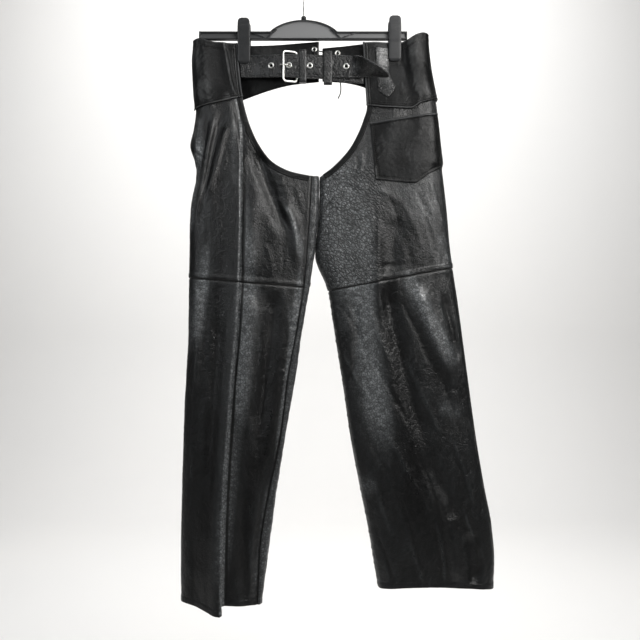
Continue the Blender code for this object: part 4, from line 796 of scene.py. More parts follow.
def rightNets():
    # knots of the right leg's front and back, round each row of the table
    t = rightLeg
    span = t["crease"] - 9 - t["outer"]
    xs = [t["outer"] + span * f for f in (0, 0.03, 0.15, 0.40, 0.72)]
    outs = [t["out"] * f for f in (0, 0.45, 0.80, 1.0)] + [mix(t["out"], t["creaseOut"], 0.55)]
    flat = np.linspace(creaseLap["across"][0], creaseLap["across"][-1], len(creaseLap["across"]))
    full = creaseLap["behind"][-1]
    dips = [0 * span] * 5
    for k, (across, behind) in enumerate(zip(creaseLap["across"], creaseLap["behind"])):
        xs.append(t["crease"] + mix(flat[k], across, t["lap"]))
        last = k == len(flat) - 1
        behind = mix(full * k / (len(flat) - 1), behind, t["lap"])
        beyond = np.maximum(t["step"] - full, 0) if last else 0
        depth = np.minimum(t["step"], full) / full * behind + beyond
        outs.append(t["creaseOut"] - depth)
        dips.append(t["dip"] * (1 - behind / full) ** 0.5)
    dips[3:5] = [t["dip"] * 0.3, t["dip"] * 0.7]
    behindLip = outs[-1]
    start = xs[-1]
    reach = t["inner"] - start
    xs += [start + reach * f for f in (0.22, 0.5, 0.8, 1.0)]
    outs += [mix(behindLip, t["inOut"], 0.7), t["inOut"],
             mix(t["inOut"], t["edgeOut"], 0.6), t["edgeOut"]]
    dips += [0 * span] * 4
    drops = [mix(t["outerDrop"], t["innerDrop"], (x - t["outer"]) / (t["inner"] - t["outer"])) + dip
             for x, dip in zip(xs, dips)]

    closed = t["closed"] > 0.5
    width = t["edge"] - t["outer"]
    strip = t["edge"] - t["inner"]
    shutX = [t["inner"], t["inner"] + 0.55 * strip, t["inner"] + 0.9 * strip, t["edge"]]
    shutX += [t["edge"] - width * f for f in (0.03, 0.12, 0.3, 0.55, 0.8)]
    shutOut = [t["edgeOut"], t["edgeOut"] - 0.3, 0.65 * t["edgeOut"], 0.25 * t["edgeOut"]]
    shutOut += [-t["back"] * f for f in (0.5, 0.85, 1.0, 1.0, 0.97)]
    seatWidth = t["seat"] - t["outer"]
    openX = [t["seat"] - seatWidth * 0.15 * (k - 3) for k in range(9)]
    openOut = [-t["back"] * f for f in (0.7, 0.74, 0.78, 0.82, 0.93, 1.0, 1.0, 0.98, 0.95)]
    backX = [np.where(closed, a, b) for a, b in zip(shutX, openX)]
    backOut = [np.where(closed, a, b) for a, b in zip(shutOut, openOut)]
    total = np.where(closed, width, seatWidth)
    backX += [t["outer"] + total * 0.09, t["outer"] + total * 0.02, t["outer"]]
    backOut += [-0.8 * t["back"], -0.45 * t["back"], 0 * width]
    reach = np.where(closed, t["inner"], t["seat"]) - t["outer"]
    innerDrop = t["innerDrop"] + np.where(closed, 0, backLower)
    backDrops = [mix(t["outerDrop"], innerDrop, (x - t["outer"]) / reach) for x in backX]
    return joinNets(stack(xs, outs, drops), stack(backX, backOut, backDrops), closed)


def leftNets():
    # knots of the left leg's front and back, round each row of the table
    t = leftLeg
    closed = t["closed"] > 0.5
    width = t["outer"] - t["inner"]
    parts = (0, 0.02, 0.08, 0.22, 0.39, 0.5, 0.61, 0.78, 0.92, 0.98, 1.0)
    xs = [t["outer"] - width * f for f in parts]
    outs = [0 * width, 0.45 * t["out"], 0.8 * t["out"], t["out"]]
    outs += [t["clip"], t["clip"], t["clip"], t["inOut"]]
    outs += [np.where(closed, t["inOut"] * a, mix(t["inOut"], t["edgeOut"], b))
             for a, b in ((0.82, 0.5), (0.45, 0.8))] + [t["edgeOut"]]
    drops = [mix(t["outerDrop"], t["innerDrop"], f) - t["rise"] * 4 * f * (1 - f) for f in parts]

    backParts = (0, 0.02, 0.08, 0.22, 0.4, 0.6, 0.8, 0.92, 0.98, 1.0)
    seatWidth = t["outer"] - t["seat"]
    backX = [np.where(closed, t["inner"] + width * f, t["seat"] + seatWidth * f) for f in backParts]
    shut = (0, 0.62, 0.86, 1.0, 1.0, 1.0, 0.98)
    opened = (0.82, 0.84, 0.88, 0.95, 1.0, 1.0, 0.98)
    backOut = [np.where(closed, -t["back"] * a, -t["back"] * b) for a, b in zip(shut, opened)]
    backOut[0] = np.where(closed, outs[-1], backOut[0])
    backOut += [-0.8 * t["back"], -0.45 * t["back"], 0 * width]
    innerDrop = t["innerDrop"] + np.where(closed, 0, backLower)
    backDrops = [mix(innerDrop, t["outerDrop"], f) for f in backParts]
    return joinNets(stack(xs, outs, drops), stack(backX, backOut, backDrops), closed)


def joinNets(front, back, closed):
    # the knots that steer each net's ends: the other net's, or a straight run at an open edge
    ahead = np.where(closed[:, None], back[:, 1], 2 * front[:, -1] - front[:, -2])
    behind = np.where(closed[:, None], front[:, -2], 2 * back[:, 0] - back[:, 1])
    wholeFront = np.concatenate([back[:, -2:-1], front, ahead[:, None]], axis=1)
    wholeBack = np.concatenate([behind[:, None], back, front[:, 1:2]], axis=1)
    return wholeFront, wholeBack


class LegFace:
    # one face of a leg: a net of knots with folds, read at s round it and v down it;
    # side is -1 for the right leg and 1 for the left
    def __init__(self, net, folds, creases, side, front, crotch):
        self.net, self.folds, self.creases, self.side = net, folds, creases, side
        self.towards = -1.0 if front else 1.0
        self.first, self.last = 1.0, net.shape[1] - 2.0
        # at the crotch row the opening's knots turn a corner; those at the side seam do not
        corner = slice(-3, None) if front else slice(0, -3)
        self.slopeIn, self.slopeOut = slopes(net), slopes(net)
        self.slopeIn[crotch, corner] = net[crotch, corner] - net[crotch - 1, corner]
        self.slopeOut[crotch, corner] = net[crotch + 1, corner] - net[crotch, corner]

    def points(self, s, v):
        s, v = np.broadcast_arrays(np.asarray(s, float), np.asarray(v, float))
        place = throughKnots(glide(self.net, v, self.slopeIn, self.slopeOut), s)
        fade = ease((s - self.first) / 2.5) * ease((self.last - s) / 1.5)
        lift = foldHeight(self.folds, place[..., 0], -place[..., 2]) * fade
        place[..., 1] += self.towards * lift
        return place

    def normals(self, s, v):
        # level direction outwards at each place, as the solids use
        ds = self.points(s + 0.02, v) - self.points(s - 0.02, v)
        return self.side * unit(np.stack([-ds[..., 1], ds[..., 0], 0 * ds[..., 0]], axis=-1))

    def leaning(self, s, v):
        # true direction outwards: the two tangents' cross product
        ds = self.points(s + 0.02, v) - self.points(s - 0.02, v)
        dv = self.points(s, v + 0.02) - self.points(s, v - 0.02)
        return self.side * unit(np.cross(ds, dv))

    def level(self, s, v, dropAt):
        # the v, for each s, where the drop is what dropAt says for that x
        s, v = (a.copy() for a in np.broadcast_arrays(np.asarray(s, float), np.asarray(v, float)))
        for _ in range(12):
            here = self.points(s, v)
            steep = (here[..., 2] - self.points(s, v + 0.01)[..., 2]) / 0.01
            move = (dropAt(here[..., 0]) + here[..., 2]) / np.maximum(steep, 1.0)
            v = np.clip(v + np.clip(move, -0.7, 0.7), -0.3, len(self.net) - 1)
        return v

    def locate(self, x, drop, s, v):
        # s and v of a place given by x and drop, from a first guess
        s = np.full(np.shape(x), 1.0) * s
        v = np.full(np.shape(x), 1.0) * v
        for _ in range(12):
            here = self.points(s, v)
            ds = (self.points(s + 0.01, v) - here) / 0.01
            dv = (self.points(s, v + 0.01) - here) / 0.01
            missX, missZ = x - here[..., 0], -drop - here[..., 2]
            det = ds[..., 0] * dv[..., 2] - dv[..., 0] * ds[..., 2]
            det = np.where(np.abs(det) < 1e-6, 1e-6, det)
            moveS = (missX * dv[..., 2] - missZ * dv[..., 0]) / det
            moveV = (missZ * ds[..., 0] - missX * ds[..., 2]) / det
            s = np.clip(s + np.clip(moveS, -0.7, 0.7), self.first, self.last)
            v = np.clip(v + np.clip(moveV, -0.7, 0.7), 0, len(self.net) - 1)
        return s, v


def foldHeight(folds, x, drop):
    # sum of folds: a bell across each fold's bent line, fading at both its ends
    total = np.zeros(np.shape(x))
    run = np.linspace(0, 1, 11)[:, None]
    for k in range(len(folds["width"])):
        line = np.array([[folds["x%d" % j][k], folds["drop%d" % j][k]] for j in range(3)])
        steer = 4 * line[1] - line[0] - line[2]
        curve = line[0] * (1 - run) ** 2 + steer * run * (1 - run) + line[2] * run ** 2
        width = folds["width"][k]
        low, high = curve.min(axis=0) - 3 * width, curve.max(axis=0) + 3 * width
        near = (x > low[0]) & (x < high[0]) & (drop > low[1]) & (drop < high[1])
        if not near.any():
            continue
        place = np.stack([x[near], drop[near]], axis=-1)[:, None]
        step = np.diff(curve, axis=0)
        share = np.clip(((place - curve[:-1]) * step).sum(-1) / (step ** 2).sum(-1), 0, 1)
        away = np.linalg.norm(place - curve[:-1] - share[..., None] * step, axis=-1)
        nearest = away.argmin(axis=-1)
        where = (nearest + np.take_along_axis(share, nearest[:, None], 1)[:, 0]) / len(step)
        fade = ease(where / 0.22) * ease((1 - where) / 0.22) * 0.9 + 0.1
        total[near] += folds["height"][k] * fade * np.exp(-(away.min(axis=-1) / width) ** 2)
    return total


# Creases a few millimetres wide, over the large folds, in the folds' columns.
rightFrontCreases = tableOf(foldColumns, (
    (-186, 262, -191, 320, -194, 395, 3, 1.3), (-168, 262, -176, 318, -187, 388, 2.6, -1.5),
    (-158, 262, -168, 330, -182, 402, 3, 1.2), (-140, 262, -149, 322, -166, 392, 2.6, -1.4),
    (-128, 262, -132, 315, -144, 372, 3, 1.3), (-119, 272, -122, 318, -128, 372, 2.2, -1.2),
    (-199, 296, -188, 313, -174, 322, 2.4, 1), (-200, 322, -186, 338, -170, 346, 2.4, -1),
    (-190, 430, -193, 490, -191, 548, 3.6, 0.4), (-173, 432, -169, 492, -173, 552, 3, -0.5),
    (-151, 428, -147, 488, -150, 551, 3.4, 0.5), (-133, 402, -129, 470, -132, 548, 3, -0.4),
    (-100, 282, -90, 316, -70, 346, 2.6, -0.8), (-96, 330, -82, 360, -60, 386, 2.6, 0.7),
    (-62, 378, -40, 388, -12, 388, 2.8, 0.6), (-74, 396, -44, 410, -8, 408, 2.6, -0.6),
    (-88, 430, -58, 446, -16, 440, 3, 0.4), (-22, 396, -10, 424, 4, 452, 3.2, -0.7),
    (-76, 470, -62, 510, -52, 556, 3.4, 0.5), (-40, 480, -36, 520, -40, 560, 3, -0.5),
    (-90, 590, -78, 668, -84, 760, 4, 0.6), (-62, 590, -50, 640, -42, 712, 3.4, -0.6),
    (-30, 600, -36, 660, -50, 720, 3.4, 0.5), (-100, 760, -84, 820, -80, 900, 3.6, -0.5),
    (-50, 760, -62, 830, -74, 900, 3, 0.4), (-108, 880, -98, 950, -86, 1010, 3.6, 0.5),
    (-200, 600, -196, 690, -204, 770, 3.4, -0.4), (-172, 590, -166, 680, -176, 790, 3.8, 0.5),
    (-150, 700, -146, 790, -156, 880, 3.2, -0.5), (-206, 820, -198, 900, -206, 985, 3.6, 0.5),
    (-182, 880, -176, 950, -184, 1030, 3.2, -0.4), (-160, 960, -158, 1040, -168, 1120, 3.6, 0.5),
    (-200, 1010, -194, 1070, -198, 1128, 3, -0.4), (-104, 1030, -98, 1080, -100, 1130, 3.2, -0.5)))
rightBackCreases = tableOf(foldColumns, (
    (-180, 262, -172, 320, -180, 400, 3.4, 1.2), (-150, 258, -140, 330, -120, 400, 3, -1.4),
    (-128, 262, -118, 310, -98, 352, 3, 1.2), (-96, 330, -72, 372, -48, 392, 3, 1.2),
    (-40, 392, -60, 430, -96, 470, 3.4, -1.4), (-20, 420, -50, 480, -60, 540, 3.2, 1.2),
    (-120, 440, -128, 490, -118, 548, 3.2, -1.2), (-170, 430, -180, 500, -172, 550, 3.4, 1.2),
    (-60, 590, -80, 660, -100, 740, 3.8, -1.4), (-30, 610, -40, 680, -66, 740, 3.2, 1.1),
    (-180, 600, -170, 690, -182, 790, 3.8, 1.3), (-140, 640, -150, 720, -140, 800, 3.4, -1.2),
    (-110, 800, -100, 880, -116, 960, 3.6, 1.3), (-190, 830, -196, 910, -186, 1000, 3.6, -1.2),
    (-150, 880, -156, 960, -148, 1050, 3.4, 1.2), (-100, 980, -110, 1050, -104, 1128, 3.2, -1.1),
    (-204, 1010, -190, 1060, -194, 1126, 3.2, 1.1)))
leftFrontCreases = tableOf(foldColumns, (
    (132, 440, 134, 500, 140, 560, 4, 0.5), (120, 400, 128, 460, 126, 520, 3, -1.1),
    (146, 402, 170, 460, 200, 560, 4.2, -0.9), (160, 404, 190, 450, 214, 512, 4.6, 0.9),
    (196, 392, 214, 430, 238, 470, 3.4, -0.7), (222, 380, 238, 420, 250, 470, 3.2, 0.7),
    (100, 332, 104, 356, 92, 374, 3.2, 1.8), (94, 336, 97, 356, 86, 370, 2.4, -1.3),
    (78, 372, 100, 392, 150, 402, 3.2, 1.2), (46, 378, 74, 392, 104, 414, 2.8, -1.2),
    (130, 396, 150, 408, 170, 424, 3, 1.4), (50, 420, 80, 428, 110, 426, 2.6, 0.9),
    (36, 470, 66, 462, 104, 470, 2.8, -1), (54, 520, 86, 508, 130, 514, 2.8, 0.9),
    (110, 531, 150, 534, 196, 528, 2.6, -1.2), (120, 549, 160, 552, 200, 544, 2.6, 1.1),
    (240, 480, 254, 510, 262, 532, 3, 1.2), (212, 440, 226, 480, 240, 528, 3.4, -1.3),
    (60, 600, 90, 640, 112, 700, 3.6, -1.4), (110, 590, 130, 650, 160, 720, 3.6, 1.3),
    (170, 590, 200, 650, 236, 730, 3.8, -1.4), (214, 590, 240, 640, 268, 690, 3.2, 1.2),
    (70, 690, 96, 740, 130, 790, 3.4, 1.2), (120, 700, 156, 760, 196, 830, 3.6, -1.4),
    (180, 700, 214, 770, 250, 850, 3.8, 1.4), (240, 720, 262, 780, 284, 850, 3.2, -1.2),
    (92, 800, 120, 850, 150, 900, 3.4, -1.2), (140, 820, 174, 880, 210, 950, 3.6, 1.3),
    (200, 860, 228, 930, 250, 1000, 3.4, -1.3), (262, 840, 286, 900, 306, 970, 3.4, 1.3),
    (110, 890, 134, 950, 156, 1010, 3.4, 1.1), (160, 930, 190, 1000, 206, 1080, 3.6, -1.3),
    (232, 980, 246, 1040, 250, 1100, 3.4, 1.4), (280, 960, 300, 1010, 322, 1060, 3.2, 1.2),
    (304, 1000, 310, 1050, 308, 1100, 4.6, -3), (130, 1010, 150, 1060, 160, 1100, 3.2, -1.1),
    (190, 1030, 204, 1070, 212, 1100, 3.2, 1.2)))
leftBackCreases = tableOf(foldColumns, (
    (230, 262, 222, 330, 232, 400, 3.4, 1.2), (170, 262, 160, 330, 136, 392, 3.2, -1.3),
    (200, 300, 190, 350, 170, 400, 3, 1.1), (90, 352, 120, 390, 160, 410, 3, 1.2),
    (60, 400, 90, 440, 130, 470, 3.4, -1.3), (180, 430, 200, 490, 196, 545, 3.6, 1.3),
    (230, 420, 240, 480, 236, 530, 3.2, -1.1), (110, 590, 130, 660, 160, 730, 3.6, -1.3),
    (200, 600, 230, 680, 236, 770, 3.8, 1.3), (250, 620, 264, 700, 270, 790, 3.2, -1.1),
    (90, 720, 120, 790, 140, 870, 3.4, 1.2), (170, 760, 190, 840, 220, 920, 3.6, -1.3),
    (260, 830, 290, 900, 300, 980, 3.6, 1.2), (130, 900, 150, 970, 170, 1050, 3.4, 1.2),
    (230, 930, 240, 1010, 256, 1095, 3.4, -1.2), (300, 960, 316, 1030, 310, 1100, 3.4, 1.1)))

# Broad bands of painted highlight (positive height) and painted shade (negative height),
# in the same columns; height is a band's strength.
rightFrontPaintedBands = tableOf(foldColumns, (
    (-177, 306, -193, 383, -200, 490, 7, 1.3), (-166, 474, -180, 580, -200, 690, 13, 1),
    (-154, 300, -149, 486, -158, 790, 14, -1), (-163, 740, -172, 936, -184, 1120, 13, -1.1),
    (-95, 440, -102, 630, -120, 840, 16, 1.15), (-120, 800, -134, 954, -144, 1115, 13, 0.6),
    (-50, 560, -64, 774, -90, 940, 19, -1.3), (-92, 900, -106, 1008, -119, 1115, 11, -1.1),
    (-5, 520, -19, 666, -56, 910, 5.5, 1.3), (-60, 900, -75, 1026, -89, 1125, 5, 0.55),
    (-84, 300, -62, 397, -22, 474, 14, -1.7), (-41, 420, -16, 462, -2, 534, 6.5, 1.6),
    (-22, 356, -12, 396, -6, 440, 8, -0.9), (-66, 505, -46, 540, -24, 575, 17, -0.6),
    (-50, 470, -54, 520, -60, 585, 14, -0.8), (-186, 262, -186, 300, -190, 345, 9, 0.6),
    (-120, 262, -124, 330, -118, 420, 10, 0.5), (-205, 700, -200, 860, -206, 1000, 12, -0.4),
    (-136, 262, -140, 330, -138, 400, 6, -0.7), (-86, 300, -100, 400, -98, 520, 9, 0.4),
    (-30, 590, -22, 660, -30, 740, 6, 0.5), (-70, 430, -60, 490, -66, 560, 9, -0.5),
    (-24, 400, -10, 440, 4, 500, 9, -0.5)))
leftFrontPaintedBands = tableOf(foldColumns, (
    (30, 345, 78, 459, 106, 600, 44, 1.5), (100, 545, 114, 684, 146, 870, 22, 1.3),
    (141, 430, 152, 612, 190, 800, 16, -1.6), (190, 760, 194, 864, 200, 1010, 19, -1.1),
    (176, 530, 220, 622, 276, 716, 12, 1.3), (36, 580, 51, 684, 69, 800, 7, 0.7),
    (72, 918, 101, 927, 136, 918, 16, 0.35), (40, 846, 60, 876, 86, 900, 12, -0.6),
    (62, 640, 72, 690, 80, 740, 10, -0.5), (240, 780, 262, 790, 282, 800, 12, 0.4),
    (160, 900, 220, 1000, 280, 1080, 30, -0.5), (150, 400, 200, 420, 240, 440, 22, 0.2),
    (84, 610, 90, 640, 92, 680, 9, -0.45), (152, 400, 166, 477, 178, 558, 22, -0.7),
    (244, 470, 250, 510, 258, 548, 10, 0.3), (90, 256, 170, 262, 256, 254, 13, -0.6),
    (188, 450, 202, 500, 212, 556, 17, -0.6)))
rightBackPaintedBands = tableOf(foldColumns, (
    (-190, 300, -184, 420, -176, 540, 14, 0.7), (-140, 280, -130, 400, -120, 520, 16, -0.9),
    (-90, 330, -70, 420, -50, 520, 15, 0.8), (-180, 600, -172, 760, -180, 920, 16, 0.8),
    (-120, 590, -116, 760, -130, 940, 15, -1), (-60, 600, -76, 740, -100, 880, 12, 0.7),
    (-190, 900, -184, 1000, -188, 1110, 12, -0.8), (-140, 900, -146, 1010, -150, 1110, 12, 0.6)))
leftBackPaintedBands = tableOf(foldColumns, (
    (230, 280, 220, 380, 226, 520, 18, 0.7), (150, 300, 130, 400, 110, 500, 22, 0.8),
    (186, 300, 180, 420, 190, 530, 14, -0.9), (120, 600, 140, 720, 170, 860, 18, 0.8),
    (190, 600, 210, 740, 226, 880, 16, -1), (250, 640, 262, 760, 280, 880, 14, 0.7),
    (150, 900, 170, 1000, 190, 1090, 16, -0.7), (250, 900, 270, 1000, 290, 1090, 15, 0.5)))

rightNetFront, rightNetBack = rightNets()
leftNetFront, leftNetBack = leftNets()
legSides = {
    "right": {"front": LegFace(rightNetFront, rightFrontFolds, rightFrontCreases, -1, True, rightCrotchRow),
              "back": LegFace(rightNetBack, rightBackFolds, rightBackCreases, -1, False, rightCrotchRow),
              "yokeRow": rightYokeRow, "seamRow": rightSeamRow},
    "left": {"front": LegFace(leftNetFront, leftFrontFolds, leftFrontCreases, 1, True, leftCrotchRow),
             "back": LegFace(leftNetBack, leftBackFolds, leftBackCreases, 1, False, leftCrotchRow),
             "yokeRow": leftYokeRow, "seamRow": leftSeamRow},
}


# wall is the leather's thickness; crease, soft and fine are heights of the small relief
panelSet = {"wall": 1.3, "gap": 0.3, "crease": 0.85, "soft": 0.8, "fine": 0.3, "lap": 0.8,
            "crossStitches": (2.2, 6.8), "bandStitches": (3.6, 8.2), "hemStitches": 10.0,
            "inseamStitches": 3.0}


def creaseLine(drop):
    return along(rightLeg["innerDrop"], rightLeg["crease"], drop)


def underPocket(x, drop):
    return 1 - 0.9 * ease((x - 112) / 8) * ease((drop - 262) / 8) * ease((388 - drop) / 6)


def pebbledPart(x, drop):
    return ease((152 - x) / 30) * ease((drop - 330) / 40)


# Each panel's small creases: their seed, their lean in degrees, their length for their
# width and their strength (calm). An offset of painted highlight (positive) and painted
# shade (negative) is added to its bands; lap is where its crease lies.
panelLooks = {
    "thighFrontRight": {"seed": 11, "lean": -8, "stretch": 3.2, "calm": 0.4, "paintedSheenShade": -0.28,
                        "paintedBands": rightFrontPaintedBands, "lap": (5.0, 13.2), "line": creaseLine},
    "shinFrontRight": {"seed": 14, "lean": -8, "stretch": 3.2, "calm": 0.4, "paintedBands": rightFrontPaintedBands,
                       "lap": (5.0, 13.2), "line": creaseLine},
    "thighBackRight": {"seed": 82, "lean": 14, "stretch": 3.0, "paintedBands": rightBackPaintedBands},
    "shinBackRight": {"seed": 85, "lean": 14, "stretch": 3.0, "paintedBands": rightBackPaintedBands},
    "inseamBandRight": {"seed": 23, "lean": 4, "stretch": 3.0, "paintedSheenShade": 0.55},
    "thighFrontLeft": {"seed": 47, "lean": 12, "stretch": 1.4, "calm": 0.45, "paintedSheenShade": 0.12,
                       "paintedBands": leftFrontPaintedBands, "still": underPocket, "pebbled": pebbledPart},
    "shinFrontLeft": {"seed": 50, "lean": 28, "stretch": 2.4, "calm": 0.55, "paintedBands": leftFrontPaintedBands},
    "thighBackLeft": {"seed": 118, "lean": -14, "stretch": 3.0, "paintedBands": leftBackPaintedBands},
    "shinBackLeft": {"seed": 121, "lean": -14, "stretch": 3.0, "paintedBands": leftBackPaintedBands},
}


def panelRelief(x, drop, s, face, looks):
    # plump creases of two sizes, soft waves and fine wrinkles, which fade at the panel's sides
    seed, lean, stretch = looks["seed"], looks["lean"], looks["stretch"]
    strong = looks.get("calm", 1.0) * panelSet["crease"]
    relief = strong * creased(x, drop, 17, stretch, lean, seed)
    relief += 0.5 * strong * creased(x + 40, drop, 8.5, 0.7 * stretch + 0.3, lean + 24, seed + 5)
    relief += panelSet["soft"] * softNoise(x / 26, drop / 44, seed + 9)
    relief += panelSet["fine"] * creased(x, drop + 70, 4.6, 1.4, lean - 30, seed + 13)
    return relief * ease((s - face.first) / 0.5) * ease((face.last - s) / 0.35)


def legPanel(name, node, face, sList, vList, trims, seams, gathers):
    # form with its large folds, then creases and seams along the true outward direction
    looks = panelLooks[name]
    v, s = np.meshgrid(vList, sList, indexing="ij")
    normals = face.leaning(s, v)
    base = trimEnds(face.points(s, v), *trims)
    x, drop = base[..., 0], -base[..., 2]
    distances = edgeDistances(base)
    small = panelRelief(x, drop, s, face, looks)
    if "still" in looks:
        small = small * looks["still"](x, drop)
    hand = foldHeight(face.creases, x, drop) * ease((s - face.first) / 0.8) * ease((face.last - s) / 0.6)
    quiet = 1.0
    for side in ("top", "bottom"):
        if side in seams:
            quiet = quiet * (0.12 + 0.88 * ease((distances[side] - 2) / 12))
    if "lap" in looks:
        start, end = looks["lap"]
        quiet = quiet * (1 - 0.8 * ease((s - start) / 0.6) * ease((end - s) / 0.6))
    relief = (small + hand) * quiet + seamRelief(distances, seams)
    outer = base + normals * gathered(relief, base, distances, gathers, looks["seed"] + 31)[..., None]
    # the fold mark lightens ridges (part wear, part painted highlight) and darkens valleys (painted shade)
    fold = 0.8 * (small + hand) * quiet / 1.2 + 0.45 * curveOf(outer, normals)
    # painted highlight and painted shade from the panel's bands and its offset, varied slowly
    paintedBands = foldHeight(looks["paintedBands"], x, drop) if "paintedBands" in looks else 0 * s
    paintedBands = (paintedBands + looks.get("paintedSheenShade", 0.0)) * (1 + 0.35 * softNoise(x / 15, base[..., 2] / 40, 3))
    # a painted highlight along the crease's roll and a painted shadow line just beside it
    if "line" in looks:
        away = x - looks["line"](drop)
        paintedBands = paintedBands + 1.8 * bell(away + 0.8, 2.5) - 1.9 * bell(away - 4.8, 1.8)
    # painted shade along each seam, in both marks
    for side in seams:
        fold = fold - 1.6 * bell(distances[side], 1.3)
        paintedBands = paintedBands - 2.0 * bell(distances[side], 1.2)
    pebbled = looks["pebbled"](x, drop) if "pebbled" in looks else None
    leatherShell(name, outer, normals, panelSet["wall"], grainedLeather, (node,),
                 np.clip(fold, -1, 1), np.clip(paintedBands, -1, 1), pebbled)
    return outer, normals, distances


def curveOf(grid, normals):
    # how far each place stands out from the middle of its neighbours, across the columns
    reach, full = 2, 0.35
    middle = 0.5 * (np.roll(grid, reach, axis=1) + np.roll(grid, -reach, axis=1))
    stand = ((grid - middle) * normals).sum(-1)
    stand[:, :reach] = stand[:, -reach:] = 0
    return np.clip(stand / full, -1, 1)


def trimEnds(grid, rows, cols):
    # first and last rows and columns pulled in along the surface
    out = grid.copy()
    for axis, (start, end) in ((0, rows), (1, cols)):
        g = np.moveaxis(out, axis, 0)
        for index, neighbour, amount in ((0, 1, start), (-1, -2, end)):
            if amount:
                g[index] += unit(g[neighbour] - g[index]) * amount
    return out


def withSeams(start, end, count, low=0.0, high=0.0, extra=9):
    # even steps, with closer ones over the first low and the last high of the range
    parts = [np.linspace(start, end, count)]
    if low:
        parts.append(np.linspace(start, start + low, extra))
    if high:
        parts.append(np.linspace(end - high, end, extra))
    values = np.unique(np.round(np.concatenate(parts), 5))
    keep = np.concatenate([[True], np.diff(values) > 0.125 * (end - start) / count])
    keep[-1] = True
    return values[keep]


def steps(*runs):
    # all places of some even runs (start, end, count), sorted, each once
    return np.unique(np.concatenate([np.linspace(*run) for run in runs]))


def buildLegs():
    half = panelSet["gap"] / 2
    both = (half, half)
    sunk = (0.0, 1.5, -1.1)
    thighSeam = {"bottom": [(-8.4, 1.4, panelSet["lap"]), (2.6, 0.8, -0.5), (6.8, 0.8, -0.45),
                            (0.0, 1.1, -0.9)]}
    shinSeams = {"top": [(0.0, 2.2, -1.2)],
                 "bottom": [(-9.4, 1.2, 0.55), (panelSet["hemStitches"], 0.8, -0.45)]}
    thighGathers = [("bottom", 16, 0.8, 8)]
    shinGathers = [("top", 18, 0.9, 8), ("bottom", 16, 1.0, 11)]
    # where the columns lie on the front and the back, and the seam at the front's inner side
    shape = {"right": (steps((1, 1.6, 7), (1, 5, 43), (5, 13, 65), (13, 17, 56)), np.linspace(4, 12, 70),
                       sunk),
             "left": (steps((1, 1.6, 7), (1, 11, 116)), np.linspace(1, 10, 72), (0.0, 1.2, -0.5))}
    lines = []
    for side, leg in legSides.items():
        frontS, backS, innerSeam = shape[side]
        hemRow = len(leg["front"].net) - 1
        thighV = withSeams(leg["yokeRow"] - 0.25, leg["seamRow"], 118, 0.0, 0.22)
        shinV, shinBackV = (withSeams(leg["seamRow"], hemRow, count, 0.10, 0.16) for count in (190, 130))
        inner = {"last": [innerSeam]}
        made = {}
        for part, node, face, s, v, rows, seams, gathers in (
                ("thighFront", "thigh_front_", "front", frontS, thighV, (0, half), {**thighSeam, **inner},
                 thighGathers),
                ("shinFront", "shin_front_", "front", frontS, shinV, (half, 0), {**shinSeams, **inner},
                 shinGathers + [("last", 11, 1.3, 7)]),
                ("thighBack", "thigh_back_", "back", backS, thighV[::2], (0, half), thighSeam, thighGathers),
                ("shinBack", "shin_back_", "back", backS, shinBackV, (half, 0), shinSeams, shinGathers)):
            made[part] = legPanel(part + side.capitalize(), node + side, leg[face], s, v, (rows, both), seams,
                                  gathers)
        for part in ("thighFront", "thighBack"):
            lines += [lineAt(*made[part], "bottom", far) for far in panelSet["crossStitches"]]
        for part in ("shinFront", "shinBack"):
            lines.append(lineAt(*made[part], "bottom", panelSet["hemStitches"]))
    shinBackLeft = made["shinBack"]
    back = legSides["right"]["back"]
    bandV = np.concatenate([withSeams(rightCrotchRow, rightSeamRow, 70)[:-1],
                            withSeams(rightSeamRow, len(back.net) - 1, 130)])
    near, far = panelSet["bandStitches"]
    bandSeam = {"first": [sunk, (2.4, 0.8, 0.3), (near, 0.7, -0.45), (far, 0.7, -0.4)]}
    band = legPanel("inseamBandRight", "inseam_band_right", back, np.linspace(1, 4, 15), bandV,
                    ((0, 0), both), bandSeam, [("first", 9, 0.7, 9)])
    lines += [lineAt(*band, "first", at) for at in (near, far)]
    lines.append(lineAt(*shinBackLeft, "first", panelSet["inseamStitches"]))
    sew("legStitches", lines)


# Waist at the back, between the side seams: how far behind its upper and lower parts
# lie, and the drops of its two edges.
backWaistRight = tableOf("x behind low top bottom", (
    (-184, 14, 23.8, 128, 250), (-165, 15, 24.4, 131, 246), (-142, 8, 24.4, 134, 239),
    (-120, 2.5, 23.6, 136, 231), (-94, 2.5, 18, 136, 223), (-60, 6.5, 13, 134, 213),
    (-20, 9.5, 10.5, 130, 204), (27, 10, 10, 126, 199)))
backWaistLeft = tableOf("x behind low top bottom", (
    (34, 10, 10, 138, 198), (70, 9, 10.5, 135, 200), (108, 5, 16, 132, 207), (150, 2.5, 23, 130, 222),
    (177, 2.5, 24, 130, 230), (197, 11, 24.2, 121, 234), (212, 13, 23.8, 117, 236)))
backDeepens = (170.0, 55.0)      # drop where the lower part begins, and the length of the change
yokeTopRight = tableOf("x drop", ((-200, 131), (-187, 127), (-164, 132), (-119, 133)))
yokeTopLeft = tableOf("x drop", (
    (105, 133), (128, 132), (177, 131), (185, 129), (204, 119), (215, 116), (224, 118)))
yokeBottomLeft = tableOf("x drop", ((113, 247), (152, 252), (191, 254), (207, 245), (240, 234)))
pocketInner = tableOf("x drop", ((119, 279), (123.5, 330), (128, 381)))
pocketTop = tableOf("x drop", ((119, 279), (180, 270), (240, 261)))
pocketBottom = tableOf("x drop", ((128, 381), (160, 384), (195, 387), (222, 371), (252, 353)))
